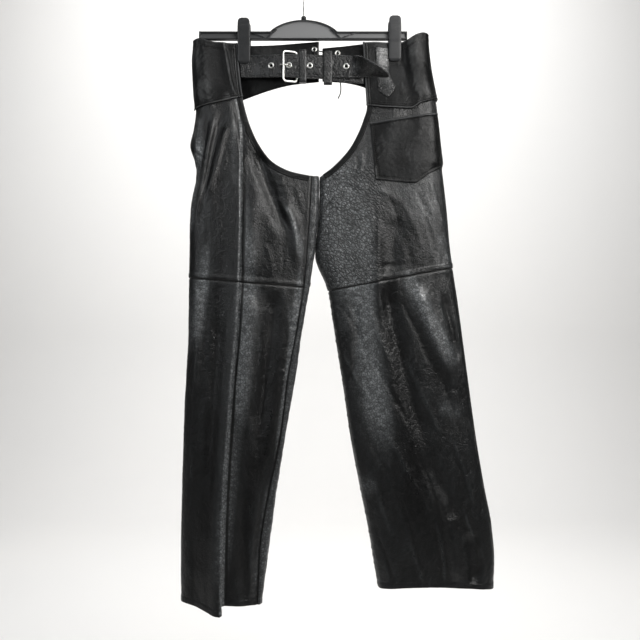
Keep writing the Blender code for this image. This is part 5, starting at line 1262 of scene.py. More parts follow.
tab = tableOf("drop left right", (
    (142, 128, 151), (165, 129, 152), (184, 130, 153), (201, 131.5, 157), (214, 133, 163), (221, 134, 161),
    (228, 142, 156), (233, 149, 152)))


# stitches and hem: how far the stitched lines lie from an edge
yokeSet = {"lift": 2.4, "wall": 1.5, "columns": 90, "rows": 56, "soft": 1.2, "crease": 0.22,
           "stitches": (3.3, 7.2), "frontStitches": (4.4, 8.4), "hem": 12.0}
backYokeSet = {"wall": 1.3, "soft": 0.45, "crease": 0.4, "stitches": (3.4, 7.0), "lacedStitches": 3.2,
               "hem": 9.0}
stripSet = {"lift": 1.5, "wall": 1.1}
pocketSet = {"lift": 2.2, "wall": 1.3, "soft": 0.5, "crease": 0.18, "stitches": (2.6, 5.4)}
tabSet = {"lift": 4.3, "wall": 1.3, "stitches": 2.3, "crossing": 218.0}


def sewnPiece(name, node, grid, normals, c, seams, seed, gathers, paintedShadeFrom=None):
    # firmer leather: slow waves and shallow creases, quieter at the edges, with its seams
    distances = edgeDistances(grid)
    x, drop = grid[..., 0], -grid[..., 2]
    small = (c["soft"] * softNoise(x / 30, drop / (1.3 * 30), seed)
             + c["crease"] * creased(x, drop, 12, 1.8, 20, seed + 3)
             + 0.35 * c["crease"] * creased(x, drop, 5, 1.2, -30, seed + 6))
    quiet = 1.0
    for side in ("top", "bottom", "first", "last"):
        quiet = quiet * (0.3 + 0.7 * ease(distances[side] / 6))
    relief = small * quiet + seamRelief(distances, seams)
    outer = grid + normals * gathered(relief, grid, distances, gathers, seed + 11)[..., None]
    fold = np.clip(0.5 * small / max(c["soft"], 0.1) + 0.6 * curveOf(outer, normals), -1, 1)
    # the sheen mark: painted highlight and shade that vary slowly at random
    paintedSheenShade = 0.5 * np.clip(softNoise(x / 34, grid[..., 2] / 46, seed + 2), -1, 1)
    # painted shade that grows from a given x towards larger x
    if paintedShadeFrom:
        paintedSheenShade = paintedSheenShade - 1.1 * ease((x - paintedShadeFrom) / 22)
    # edges lightened through the fold mark, part wear and part painted highlight; painted shade along
    # stitched grooves and painted highlight on raised piping
    for side, bells in seams.items():
        fold = np.maximum(fold, 0.9 * bell(distances[side] - 1.2, 1.1))
        for at, width, height in bells:
            if at > 0 and height < 0:
                paintedSheenShade = paintedSheenShade - 1.4 * bell(distances[side] - at, width)
            elif height > 1:
                paintedSheenShade = paintedSheenShade + 1.6 * bell(distances[side] - at, width)
    leatherShell(name, outer, normals, c["wall"], smoothLeather, (node,), fold,
                 np.clip(paintedSheenShade, -1, 1))
    return outer, normals, distances


def buildYokes():
    y = yokeSet
    lines = []
    (low, high), (near, far), hem = y["stitches"], y["frontStitches"], y["hem"]
    seams = {"bottom": [(1.3, 1.1, 0.95), (low, 0.7, -0.65), (high, 0.8, -0.40), (-8.2, 1.2, 0.45)],
             "top": [(1.1, 1.1, 0.6), (hem, 0.9, -0.55), (-11.0, 1.2, 0.45)],
             "last": [(1.8, 1.5, 1.2), (near, 0.9, -0.8), (far, 0.8, -0.40)]}
    down = steps((0, 1, y["rows"]), (0, 0.06, 8), (0.92, 1, 9))[:, None]
    for side, s, top, bottom, seed, paintedShadeFrom in (
            ("right", steps((1, 5, 34), (5, 13, 17), (13, 17, 30)), yokeTopRight, None, 61, None),
            ("left", np.linspace(1, 11, y["columns"]), yokeTopLeft, yokeBottomLeft, 67, 196)):
        face = legSides[side]["front"]
        upper = face.level(s, 0.0 * s, lambda x: along(top["x"], top["drop"], x))
        lower = np.full(len(s), float(legSides[side]["yokeRow"]))
        if bottom:
            lower = face.level(s, lower, lambda x: along(bottom["x"], bottom["drop"], x))
        v = mix(upper, lower, down)
        places = np.broadcast_to(s, v.shape)
        grid = face.points(places, v) + y["lift"] * face.normals(places, v)
        grid = trimEnds(grid, (0, 0), (panelSet["gap"] / 2, 0))
        normals = gridNormals(grid, face.side)
        made = sewnPiece("frontYoke" + side.capitalize(), "yoke_" + side, grid, normals, y, seams, seed,
                         [("bottom", 12, 0.5, 9), ("last", 9, 0.35, 8)], paintedShadeFrom)
        lines += [lineAt(*made, "bottom", at) for at in (low, high)]
        lines += [trimRun(*lineAt(*made, "last", at), end=end) for at, end in ((near, 6), (far, 8))]
        lines.append(lineAt(*made, "top", hem))
    sew("yokeStitches", lines)


def buildStrips():
    # a binding along each side of the front opening: flat, then rounded over the edge
    c = stripSet
    offsets = np.array([0.25, 0.6, 1.1, 1.7, 2.6, 3.6, 4.8, 6.0, 7.2, 8.2, 9.2, 9.7, 10.0])
    lines = []
    for side, lastRow, turn in (("right", rightCrotchRow - 0.1, 1), ("left", leftCrotchRow - 0.4, -1)):
        face = legSides[side]["front"]
        v = np.linspace(legSides[side]["yokeRow"] + 0.02, lastRow, 110)
        edge = face.points(np.full(len(v), face.last), v)
        run = unit(np.gradient(edge[:, [0, 2]], axis=0))
        inwards = turn * np.stack([run[:, 1], -run[:, 0]], axis=1)
        x = edge[:, None, 0] + inwards[:, None, 0] * offsets
        z = edge[:, None, 2] + inwards[:, None, 1] * offsets
        s, rowsAt = face.locate(x, -z, face.last - 0.5, v[:, None])
        lift = c["lift"] + 0.35 * bell(offsets - 1.6, 1.0) - 1.4 * (1 - offsets / 1.2).clip(0) ** 2
        grid = face.points(s, rowsAt) + lift[..., None] * face.normals(s, rowsAt)
        normals = gridNormals(grid, -face.side)
        far = np.broadcast_to(offsets, grid.shape[:2])
        gathers = 0.35 * softNoise(-grid[..., 2] / 6.5, grid[..., 0] / 30, 81) * bell(far - 5, 4)
        relief = seamRelief({"first": far}, {"first": [(1.9, 0.5, -0.25), (8.2, 0.5, -0.25)]}) + gathers
        outer = grid + normals * relief[..., None]
        # the fold mark: gathers lighten their ridges (part wear, part painted highlight) and darken their
        # valleys (painted shade); the rolled edge is lightened, part wear and part painted highlight
        fold = np.clip(gathers + 0.8 * bell(far - 1.2, 1.0), -1, 1)
        leatherShell("edgeBinding" + side.capitalize(), outer, normals, c["wall"], smoothLeather,
                     ("edge_strip_" + side,), fold)
        lines += [(outer[:, at], normals[:, at]) for at in (3, 9)]
    sew("bindingStitches", lines)


def refined(grid, rowParts, colParts):
    # more rows and columns on a smooth surface through the given ones
    for parts in (rowParts, colParts):
        count = len(grid)
        grid = glide(grid, np.linspace(0, count - 1, (count - 1) * parts + 1)).swapaxes(0, 1)
    return grid


def backYokeGrid(table, leg, side, rows=7):
    # waist at the back on one side, from the side seam round to the laced edge
    down = np.linspace(0, 1, rows)[:, None]
    places = np.arange(2 * len(table["x"]) - 1) / 2
    xs, upper, lower, top, bottom = (glide(table[k], places) for k in ("x", "behind", "low", "top", "bottom"))
    drop = mix(top, bottom, down)
    begin, length = backDeepens
    behind = mix(upper, lower, ease((drop - begin) / length))
    grid = np.stack([np.broadcast_to(xs, drop.shape), behind, -drop], axis=-1)
    corner = grid[:, 0] if side < 0 else grid[:, -1]
    outer = along(leg["outerDrop"][:5], leg["outer"][:5], -corner[:, 2])
    turns = [np.stack([outer + side * beyond, share * corner[:, 1] + 0.15, corner[:, 2]], axis=-1)
             for beyond, share in ((yokeSet["lift"], 0.0), (yokeSet["lift"] - 0.7, 0.5), (-1.5, 0.86))]
    if side > 0:
        return np.concatenate([grid, np.stack(turns[::-1], axis=1)], axis=1)
    return np.concatenate([np.stack(turns, axis=1), grid], axis=1)


def buildBackYokes():
    lines = []
    (low, high), beside, hem = (backYokeSet[k] for k in ("stitches", "lacedStitches", "hem"))
    for side, sign, table, leg, seed, laced in (("right", -1, backWaistRight, rightLeg, 91, "last"),
                                                ("left", 1, backWaistLeft, leftLeg, 97, "first")):
        grid = refined(backYokeGrid(table, leg, sign), 9, 8)
        seams = {"top": [(0.9, 0.9, 0.35), (hem, 0.7, -0.35), (-8.4, 0.9, 0.25)],
                 "bottom": [(1.4, 1.2, 0.5), (low, 0.6, -0.4), (high, 0.7, -0.3)],
                 laced: [(1.2, 1.0, 0.6), (beside, 0.6, -0.4)]}
        made = sewnPiece("backYoke" + side.capitalize(), "back_yoke_" + side, grid, normalsTo(grid, 1),
                         backYokeSet, seams, seed, [("bottom", 14, 0.7, 7), ("top", 8, 0.3, 8)])
        lines += [lineAt(*made, place, at)
                  for place, at in (("top", hem), ("bottom", low), ("bottom", high), (laced, beside))]
    sew("backYokeStitches", lines)


def buildPocket():
    c, face = pocketSet, legSides["left"]["front"]
    down = np.linspace(0, 1, 60)
    innerDrop = mix(pocketInner["drop"][0], pocketInner["drop"][-1], down)
    innerX = along(pocketInner["drop"], pocketInner["x"], innerDrop)
    sInner, vInner = face.locate(innerX, innerDrop, 9.0, 6.0)
    s = mix(sInner[:, None], 3.0, np.linspace(0, 1, 60))
    s = np.concatenate([s, np.broadcast_to(np.linspace(3.0, 2.25, 10)[1:], (len(down), 9))], axis=1)

    def dropAt(x):
        top = along(pocketTop["x"], pocketTop["drop"], x)
        bottom = along(pocketBottom["x"], pocketBottom["drop"], x)
        return mix(top, bottom, down[:, None])

    v = face.level(s, np.broadcast_to(vInner[:, None], s.shape), dropAt)
    grid = face.points(s, v) + c["lift"] * face.normals(s, v)
    border = [(1.1, 1.0, 0.5)] + [(at, 0.7, -0.45) for at in c["stitches"]]
    seams = {"first": border, "bottom": border, "last": border, "top": [(2.0, 1.7, 1.3), (5.4, 1.4, -0.6)]}
    made = sewnPiece("thighPocket", "pocket", grid, normalsTo(grid, -1), c, seams, 103,
                     [("bottom", 8, 0.3, 9)], 200)
    sew("pocketStitches", [trimRun(*lineAt(*made, side, at), start=2, end=2)
                           for side in ("first", "bottom", "last") for at in c["stitches"]])


def buildTab():
    c, face = tabSet, legSides["left"]["front"]
    stitches, crossing = c["stitches"], c["crossing"]
    keys = np.linspace(tab["drop"][0], tab["drop"][-1], 70)
    left, right = (along(tab["drop"], tab[k], keys) for k in ("left", "right"))
    across = np.array([0, 0.03, 0.07, 0.12, 0.18, 0.26, 0.36, 0.5, 0.64, 0.74, 0.82, 0.88, 0.93, 0.97, 1.0])
    x = mix(left[:, None], right[:, None], across)
    drop = np.broadcast_to(keys[:, None], x.shape)
    s, v = face.locate(x, drop, 7.0, 1.5)
    grid = face.points(s, v) + c["lift"] * face.normals(s, v)
    normals = normalsTo(grid, -1)
    wide = (right - left)[:, None]
    distances = {"first": across * wide, "last": (1 - across) * wide}
    cracks = 0.45 * creased(grid[..., 0], 2.2 * drop, 9, 0.8, 80, 5) * ease((drop - 146) / 10)
    rim = -0.5 * (bell(distances["first"], 0.8) + bell(distances["last"], 0.8))
    crossLine = -0.35 * bell(drop - crossing, 0.9)
    groove = seamRelief(distances, {side: [(stitches, 0.5, -0.3)] for side in ("first", "last")})
    relief = cracks + rim + crossLine + groove + 0.25 * softNoise(x / 14, drop / 14, 9)
    outer = grid + normals * relief[..., None]
    # the fold mark: lighter overall and at rounded parts (part wear, part painted highlight), darker in the
    # cracks (painted shade)
    fold = np.clip(0.4 + cracks + 0.5 * curveOf(outer, normals), -1, 1)
    # the sheen mark: brighter above a drop of 212, with painted shade along the edges, the stitched rows and
    # the cross line
    nearEdge = np.minimum(distances["first"], distances["last"])
    paintedSheenShade = 0.5 * ease((212 - drop) / 10) - 1.2 * bell(nearEdge, 0.9)
    paintedSheenShade = paintedSheenShade - 0.9 * bell(nearEdge - stitches, 0.6) - 0.9 * bell(drop - crossing, 1.0)
    leatherShell("stitchedTab", outer, normals, c["wall"], beltLeather, ("tab",), fold,
                 np.clip(paintedSheenShade, -1, 1))
    upper = keys < 214
    straight = outer[upper], normals[upper], {k: d[upper] for k, d in distances.items()}
    row = int((keys < crossing).sum())
    lines = [lineAt(*straight, side, stitches) for side in ("first", "last")]
    sew("tabStitches", lines + [(outer[row], normals[row])], 0.9)


buildLegs()
print("legs draped and creased")
buildYokes()
buildStrips()
buildBackYokes()
print("yokes and bindings sewn")
buildPocket()
buildTab()
print("pocket and tab sewn")


# Billet of the belt, from its sewn end to its curled tip; roll turns its lower edge back.
billet = tableOf("x drop out halfWidth roll", (
    (-113.6, 174, 2.7, 19.5, 0), (-96, 174, 2.9, 20, 0), (-72, 174.5, 6.5, 20, 0), (-50, 175, 10.4, 20, 0),
    (-36, 175, 11.3, 20, 0), (-12, 175.5, 11.3, 20, 0), (20, 176, 11.3, 20, 0), (50, 176.5, 11.3, 20, 0),
    (66, 177, 12.0, 20, 0), (84, 178, 13.2, 19.5, 0), (96, 180.5, 18.5, 19, 20), (109, 185, 26, 17, 44),
    (128, 192, 30, 13.5, 60), (143, 198, 29, 8, 60), (150, 201, 28, 2.5, 60)))
# Strap that carries the buckle: front layer, turn round the buckle's bar, back layer.
buckleStrap = tableOf("x out drop", (
    (107.0, 8.2, 186), (80, 8.6, 184), (50, 8.6, 180), (20, 8.6, 177), (-4, 8.6, 176), (-12, 8.6, 176),
    (-14.7, 7.5, 176), (-15.8, 4.8, 176), (-14.7, 2.1, 176), (-12, 1.0, 176), (-4, 1.0, 176),
    (20, 1.0, 177)))
prong = tableOf("x out", (
    (-8.8, 7.6), (-15, 7.5), (-21.8, 7.4), (-23.8, 8.0), (-24.9, 9.2), (-26.0, 11.0), (-27.1, 12.8),
    (-28.6, 14.2), (-31.5, 15.4), (-36, 16.2), (-41.5, 15.8)))
# Each keeper: its two sides, the space inside it from front to back, and its drops.
keepers = tableOf("start end front back top bottom", (
    (-7.5, 5.0, 11.9, 0.6, 148, 204), (36, 51, 12.9, 5.8, 151, 208)))
laceEyelets = tableOf("x drop", ((19, 140), (19, 160), (19, 180), (61, 147), (61, 167), (61, 188)))


def billetFrame(x):
    # middle, direction across, outward normal and half width of the billet at each x
    def read(name, x):
        return along(billet["x"], billet[name], x)

    def middle(x):
        return np.stack([x, -read("out", x), -read("drop", x)], axis=-1)

    near = 0.5
    run = unit(middle(x + near) - middle(x - near))
    roll = np.radians(read("roll", x))
    width = np.stack([0 * x, np.sin(roll), -np.cos(roll)], axis=-1)
    width = unit(width - (width * run).sum(-1, keepdims=True) * run)
    return middle(x), width, np.cross(width, run), read("halfWidth", x)


def roundedLoop(front, back, top, bottom, radius, parts=9):
    # points of a rounded rectangle: distance out and drop
    points = []
    for out, drop, start in ((front - radius, top + radius, 0), (back + radius, top + radius, 90),
                             (back + radius, bottom - radius, 180), (front - radius, bottom - radius, 270)):
        for k in range(parts + 1):
            angle = math.radians(start + 90 * k / parts)
            points.append((out + radius * math.cos(angle), drop - radius * math.sin(angle)))
    return np.array(points)


beltSet = {"wall": 2.4, "eyelets": (-58.0, -26.0, 11.0, 43.0, 76.0), "hole": 3.4, "startSlant": 1.8,
           "puff": 0.35, "cracks": 0.55}
strapSet = {"stitches": 3.1, "wall": 1.9, "half": 20.0, "puff": 0.2, "cracks": 0.3}
buckleSet = {"left": -36.0, "leftOut": 13.1, "right": -12.0, "rightOut": 4.8, "drop": 176.5,
             "halfHeight": 26.5, "corner": 5.0, "wire": 1.5, "wide": 1.25, "prongWire": 1.0,
             "prongDrop": 175.2, "slot": (-18.0, -6.5, 3.0)}
keeperSet = {"wall": 1.5, "corner": 2.0}


def strapShell(name, node, centre, width, normal, half, c, seed, slant=0.0):
    # a strap: its middle line, the unit direction across and its half width, with rounded
    # edges, a stitched line near each edge and cracks across it
    rim = np.array([0, 0.02, 0.06, 0.11])
    share = np.concatenate([rim - 1, np.linspace(-0.84, 0.84, 25), 1 - rim[::-1]])
    grid = centre[:, None] + width[:, None] * (half[:, None] * share)[..., None]
    grid[0, :, 0] += slant * share
    stitches = strapSet["stitches"]
    fromEdge = (1 - np.abs(share)) * half[:, None]
    run = runLength(centre)[:, None]
    place = share * half[:, None]
    crack = c["cracks"] * creased(run + 0 * place, place, 4.6, 3.4, 6, seed)
    crack = crack + 0.5 * c["cracks"] * creased(run + 0 * place, place, 2.6, 2.6, -14, seed + 4)
    inside = ease((fromEdge - 1.0) / 3)
    relief = crack * inside + c["puff"] * ease((fromEdge - 3.4) / 3) - 0.7 * (1 - fromEdge / 1.6).clip(0) ** 2
    relief = relief - 0.35 * bell(fromEdge - stitches, 0.6)
    relief = relief + 0.3 * softNoise(run / 17, place / 17, seed + 2) * inside
    normals = np.broadcast_to(normal[:, None], grid.shape)
    outer = grid + normals * relief[..., None]
    # the fold mark: lighter overall and near the edges (part wear, part painted highlight), darker in the
    # cracks (painted shade)
    fold = np.clip(0.25 + 1.6 * crack + 0.9 * bell(fromEdge, 1.4), -1, 1)
    # the sheen mark: slow painted highlight and shade, painted shade on the stitched rows and a painted
    # highlight along the rolled edges
    paintedSheenShade = 0.45 * softNoise(run / 20, place / 11, seed + 6) - 0.4
    paintedSheenShade = paintedSheenShade - bell(fromEdge - stitches, 0.8) + 0.9 * bell(fromEdge - 1.5, 0.7)
    obj = leatherShell(name, outer, normals, c["wall"], beltLeather, (node,), fold,
                       np.clip(paintedSheenShade, -1, 1))
    lines = []
    for sign in (-1, 1):
        at = sign * (1 - stitches / np.maximum(half, stitches + 0.5))
        index = np.clip(np.searchsorted(share, at), 1, len(share) - 1)[:, None]
        part = ((at[:, None] - share[index - 1]) / (share[index] - share[index - 1]))[..., None]
        low, high = (np.take_along_axis(outer, k[..., None], 1) for k in (index - 1, index))
        keep = half > stitches + 1.5
        lines.append((mix(low, high, part)[keep, 0], normal[keep]))
    return obj, lines


def cutOut(obj, rings):
    # the shape between two outlines taken out, and the result kept as the object's own mesh
    around = rings.shape[1]
    faces = gridQuads(2, around, False, True)[:, ::-1].tolist()
    faces += [list(range(around)), list(range(2 * around - 1, around - 1, -1))]
    mesh = bpy.data.meshes.new("cutter")
    mesh.from_pydata((rings.reshape(-1, 3) * mm).tolist(), [], faces)
    mesh.update()
    cutter = newObject("cutter", mesh)
    modifier = obj.modifiers.new("hole", "BOOLEAN")
    modifier.operation = "DIFFERENCE"
    modifier.object = cutter
    applied = bpy.data.meshes.new_from_object(obj.evaluated_get(bpy.context.evaluated_depsgraph_get()))
    obj.modifiers.remove(modifier)
    obj.data = applied
    bpy.data.objects.remove(cutter)


def eyelet(name, centre, axis, node, inner, flange, back, front=0.3):
    # a rolled rim on a short barrel, turned round the eyelet's axis
    lean = np.linspace(-0.15 * math.pi, math.pi, 11)
    middle, half = 0.5 * (inner + flange), 0.5 * (flange - inner)
    rim = np.stack([middle + half * np.cos(lean), front + 0.65 * np.sin(lean).clip(-0.2)], axis=1)
    profile = np.concatenate([[[inner + 0.35, -back], [inner + 0.35, front]], rim, [[inner, -back]]])
    turned(name, profile, centre, axis, brightNickel, (node,), 36)


def buildBelt():
    t, c = billet, beltSet
    x = steps((t["x"][0], 90, 190), (90, t["x"][-1], 80))
    obj, lines = strapShell("beltBillet", "belt_billet", *billetFrame(x), c, 7, c["startSlant"])
    sew("billetStitches", lines, 0.95)
    places = []
    for i, at in enumerate(c["eyelets"]):
        middle, _, out, _ = (a[0] for a in billetFrame(np.array([at])))
        places.append((middle, out))
        eyelet("beltEyelet%d" % (i + 1), middle + 0.25 * out, out, "belt_eyelet_%d" % (i + 1), 2.9, 5.5,
               c["wall"])
    for middle, out in places:
        cutOut(obj, tubeRings([middle - 6 * out, middle + 6 * out], c["hole"], (1, 0, 0.3), 24))


def buildBuckle():
    t, c = buckleStrap, buckleSet
    centre = smoothRun(np.stack([t["x"], -t["out"], -t["drop"]], axis=-1), 9)
    width = np.broadcast_to(np.array([0.0, 0.0, -1.0]), centre.shape)
    normal = unit(np.cross(unit(np.gradient(centre, axis=0)), width))
    obj, lines = strapShell("buckleStrap", "buckle_strap", centre, width, normal,
                            np.full(len(centre), strapSet["half"]), strapSet, 19)
    front = centre[:, 1] < -8.0
    sew("buckleStrapStitches", [(path[front], n[front]) for path, n in lines], 0.95)
    start, end, half = c["slot"]
    slot = [[start, -half], [end, -half], [end, half], [start, half]]
    cutOut(obj, np.array([[[x, out, -(c["prongDrop"] + z)] for x, z in slot] for out in (5, -14)]))
    middle = 0.5 * (c["left"] + c["right"])
    reach = 0.5 * (c["right"] - c["left"]) - c["corner"]
    lean = np.linspace(0, 2 * math.pi, 80, endpoint=False)
    x = middle + np.sign(np.cos(lean)) * reach + c["corner"] * np.cos(lean)
    z = -c["drop"] + np.sign(np.sin(lean)) * (c["halfHeight"] - c["corner"]) + c["corner"] * np.sin(lean)
    share = (x - c["left"]) / (c["right"] - c["left"])
    path = np.stack([x, -mix(c["leftOut"], c["rightOut"], share), z], axis=-1)
    slope = unit(np.cross(path[20] - path[0], path[40] - path[0]))
    rings = tubeRings(path, c["wire"] * c["wide"], slope, 20, True, 1 / c["wide"])
    loft("buckleFrame", rings, brightNickel, ("buckle_frame",), closedRun=True)
    knots = np.stack([prong["x"], -prong["out"], 0 * prong["x"] - c["prongDrop"]], axis=-1)
    path, radius = roundEnds(smoothRun(knots, 5), c["prongWire"])
    loft("bucklePin", tubeRings(path, radius, (0, 0, 1), 14), brightNickel, ("buckle_prong",))


def buildKeepers():
    t, wall, corner = keepers, keeperSet["wall"], keeperSet["corner"]
    share = np.array([0, 0.04, 0.12, 0.25, 0.4, 0.55, 0.7, 0.85, 0.93, 0.98, 1.0])
    for i in range(len(t["start"])):
        front, back, top, bottom = (t[k][i] for k in ("front", "back", "top", "bottom"))
        loops = (roundedLoop(front, back, top, bottom, corner),
                 roundedLoop(front + wall, back - wall, top - wall, bottom + wall, corner + wall))
        # 8 steps from each place of a loop to the next
        inside, outside = (np.linspace(loop, np.roll(loop, -1, axis=0), 9, axis=1)[:, :-1].reshape(-1, 2)
                           for loop in loops)
        order = np.arange(len(inside))[:, None] * 1.0
        x = np.broadcast_to(mix(t["start"][i], t["end"][i], share), (len(order), len(share)))
        cracks = 0.35 * creased(x, order * 1.2, 3.2, 5, 4, 41 + i)
        edge = -0.6 * (1 - np.minimum(share, 1 - share) / 0.1).clip(0) ** 2
        puff = 0.3 * np.sin(math.pi * share) + edge + cracks
        outer = outside[:, None] + unit(outside - inside)[:, None] * puff[..., None]
        under = np.broadcast_to(inside[:, None], outer.shape)[:, ::-1]
        rings = np.concatenate([np.stack([side, -loop[..., 0], -loop[..., 1]], axis=-1)
                                for side, loop in ((x, outer), (x[:, ::-1], under))], axis=1)
        # the fold mark: lighter outside (part wear, part painted highlight), darker in the cracks (painted
        # shade)
        marks = {"fold": np.concatenate([0.2 + 1.4 * cracks, 0 * cracks], axis=1).clip(-1, 1).ravel()}
        loft("beltKeeper%d" % (i + 1), rings, beltLeather, ("keeper_%d" % (i + 1),), True, marks)


def buildLacing():
    for i, (x, drop) in enumerate(zip(laceEyelets["x"], laceEyelets["drop"])):
        table = backWaistRight if x < 30 else backWaistLeft
        behind = along(table["x"], table["behind"], np.array([x]))[0]
        eyelet("laceEyelet%d" % (i + 1), (x, behind - 1.5, -drop), (0, -1, 0),
               "lace_eyelet_%d" % (i + 1), 2.5, 4.9, 2.1, 0.4)


buildBelt()
buildBuckle()
buildKeepers()
buildLacing()
print("belt, buckle and lacing made")


# Pinching jaw of a clip, from its rounded top down: outer and inner face, half width.
jaw = tableOf("down outer inner half", (
    (0, 11.6, 9.6, 5.0), (2, 12.6, 9.2, 8.6), (6, 13.0, 9.0, 10.6), (22, 12.6, 8.9, 11.3),
    (30, 11.6, 6.6, 11.3), (41, 10.2, 6.0, 11.3), (47, 9.0, 3.1, 11.3), (66, 7.8, 3.1, 11.3),
    (75, 6.8, 3.1, 10.8), (79, 5.2, 3.1, 8.8)))
# The hook's wire, from the collar up to where its round part begins.
hookStem = tableOf("x drop", ((0, 83.2), (0, 70), (0, 60), (1.5, 54), (5.5, 46), (11, 37), (16, 28.5)))
# moon and wing are pairs of ribs: distance from the middle, how much it grows, the drop
# where that begins and its length. hookArc: degrees round the bend, from the stem's side.
hangerSet = {"left": -188.0, "right": 186.0, "top": 112.0, "bottom": 126.5, "archTop": 91.3, "archHalf": 60.0,
             "halfDepth": 5.5, "web": 1.6, "rim": 3.0, "round": 0.9, "moon": (49.0, 17.0, 106.0, 20.0),
             "wing": (96.0, -26.0, 112.0, 12.0),
             "collarTop": 83.5, "collar": 4.5, "hookWire": 1.5, "hookRadius": 19.5, "hookArc": (-16.0, 208.0)}
# corner: the power that makes an oval into a rounded oblong; the next number is a faint painted web light;
# bridge: half width and depth
clipSet = {"places": (("right", -107.0, 90.0), ("left", 163.5, 86.0)), "corner": 0.34, "paintedWebLight": 0.01,
           "bridge": (8.0, 8.6), "bridgeTop": 3.5}


def hangerTop(x):
    # the bar's upper edge: straight, with a sine arch over its middle
    h = hangerSet
    lean = np.arccos(np.clip(x / h["archHalf"], -1, 1))
    return h["top"] - (h["top"] - h["archTop"]) * np.sin(lean) ** 1.6


def buildHanger():
    # both faces are one relief: deep rims along the outline and ribs, thin webs between
    h = hangerSet
    left, right, bottom = h["left"], h["right"], h["bottom"]
    x = steps((left, right, 190), (-80, 80, 107), (left, left + 5, 9), (right - 5, right, 9))
    share = np.unique(np.round(steps((0, 1, 21), (0, 0.3, 13), (0.7, 1, 13)), 4))
    top = hangerTop(x)
    drop = mix(top, bottom, share[:, None])
    across = np.broadcast_to(x, drop.shape)
    fromTop = (drop - top) / np.sqrt(1 + np.gradient(top, x) ** 2)
    edge = np.minimum(np.minimum(fromTop, bottom - drop), np.minimum(across - left, right - across))
    rim = 1 - ease((edge - h["rim"] + 0.5) / 1.0)
    moon, wing = (np.abs(np.abs(across) - (near + more * ease((drop - begin) / length)))
                  for near, more, begin, length in (h["moon"], h["wing"]))
    ribs = (1 - ease((moon - 1.3) / 0.9)) * ease((drop - h["moon"][2]) / 2)
    ribs = np.maximum(ribs, 1 - ease((wing - 0.9) / 0.9))
    deep = np.maximum(rim, ribs)
    rounding = h["round"] * (1 - np.sqrt(1 - (1 - edge / h["round"]).clip(0) ** 2))
    out = mix(h["web"], h["halfDepth"], deep) - rounding
    faces = [np.stack([across, side * out, -drop], axis=-1).reshape(-1, 3) for side in (-1, 1)]
    loop = borderLoop(*drop.shape)
    after = np.roll(loop, -1)
    sheet = gridQuads(*drop.shape)
    count = drop.size
    border = np.stack([after, loop, count + loop, count + after], axis=1)
    quads = np.concatenate([sheet, count + sheet[:, ::-1], border])
    # thin webs painted lighter as if lit through, most in the middle, less on the right and least on the
    # left: painted light; the fold mark lightens the outline, part wear and part painted highlight
    paintedWebLight = (1 - deep) * np.where(np.abs(across) < 60, 1.0, np.where(across > 0, 0.8, 0.25))
    marks = {"paintedWebLight": np.tile(paintedWebLight.ravel(), 2), "fold": np.tile(bell(edge, 0.8).ravel(), 2)}
    putPiece("hangerBar", np.concatenate(faces), quads, mouldedPlastic, ("hanger_body",),
             marks=marks)
    r, low, high = h["collar"], -h["archTop"] + 0.3, -h["collarTop"]
    profile = [(0.4, low), (r, low), (r, high - 2.2), (r - 0.5, high - 1.2), (r - 1.6, high - 0.3),
               (2.4, high), (0.4, high)]
    turned("hookCollar", profile, (0, 0, 0), (0, 0, 1), mouldedPlastic, ("hanger_collar",), 40)
    radius, wire = h["hookRadius"], h["hookWire"]
    lean = np.radians(np.arange(*h["hookArc"], 8))
    bend = np.stack([radius * np.cos(lean), 0 * lean, radius * np.sin(lean) - (radius - wire)], axis=1)
    stem = np.stack([hookStem["x"], 0 * hookStem["x"], -hookStem["drop"]], axis=1)
    path, radius = roundEnds(smoothRun(np.concatenate([stem, bend]), 4), wire)
    loft("wireHook", tubeRings(path, radius, (0, 1, 0), 16), hookSteel, ("hanger_hook",))


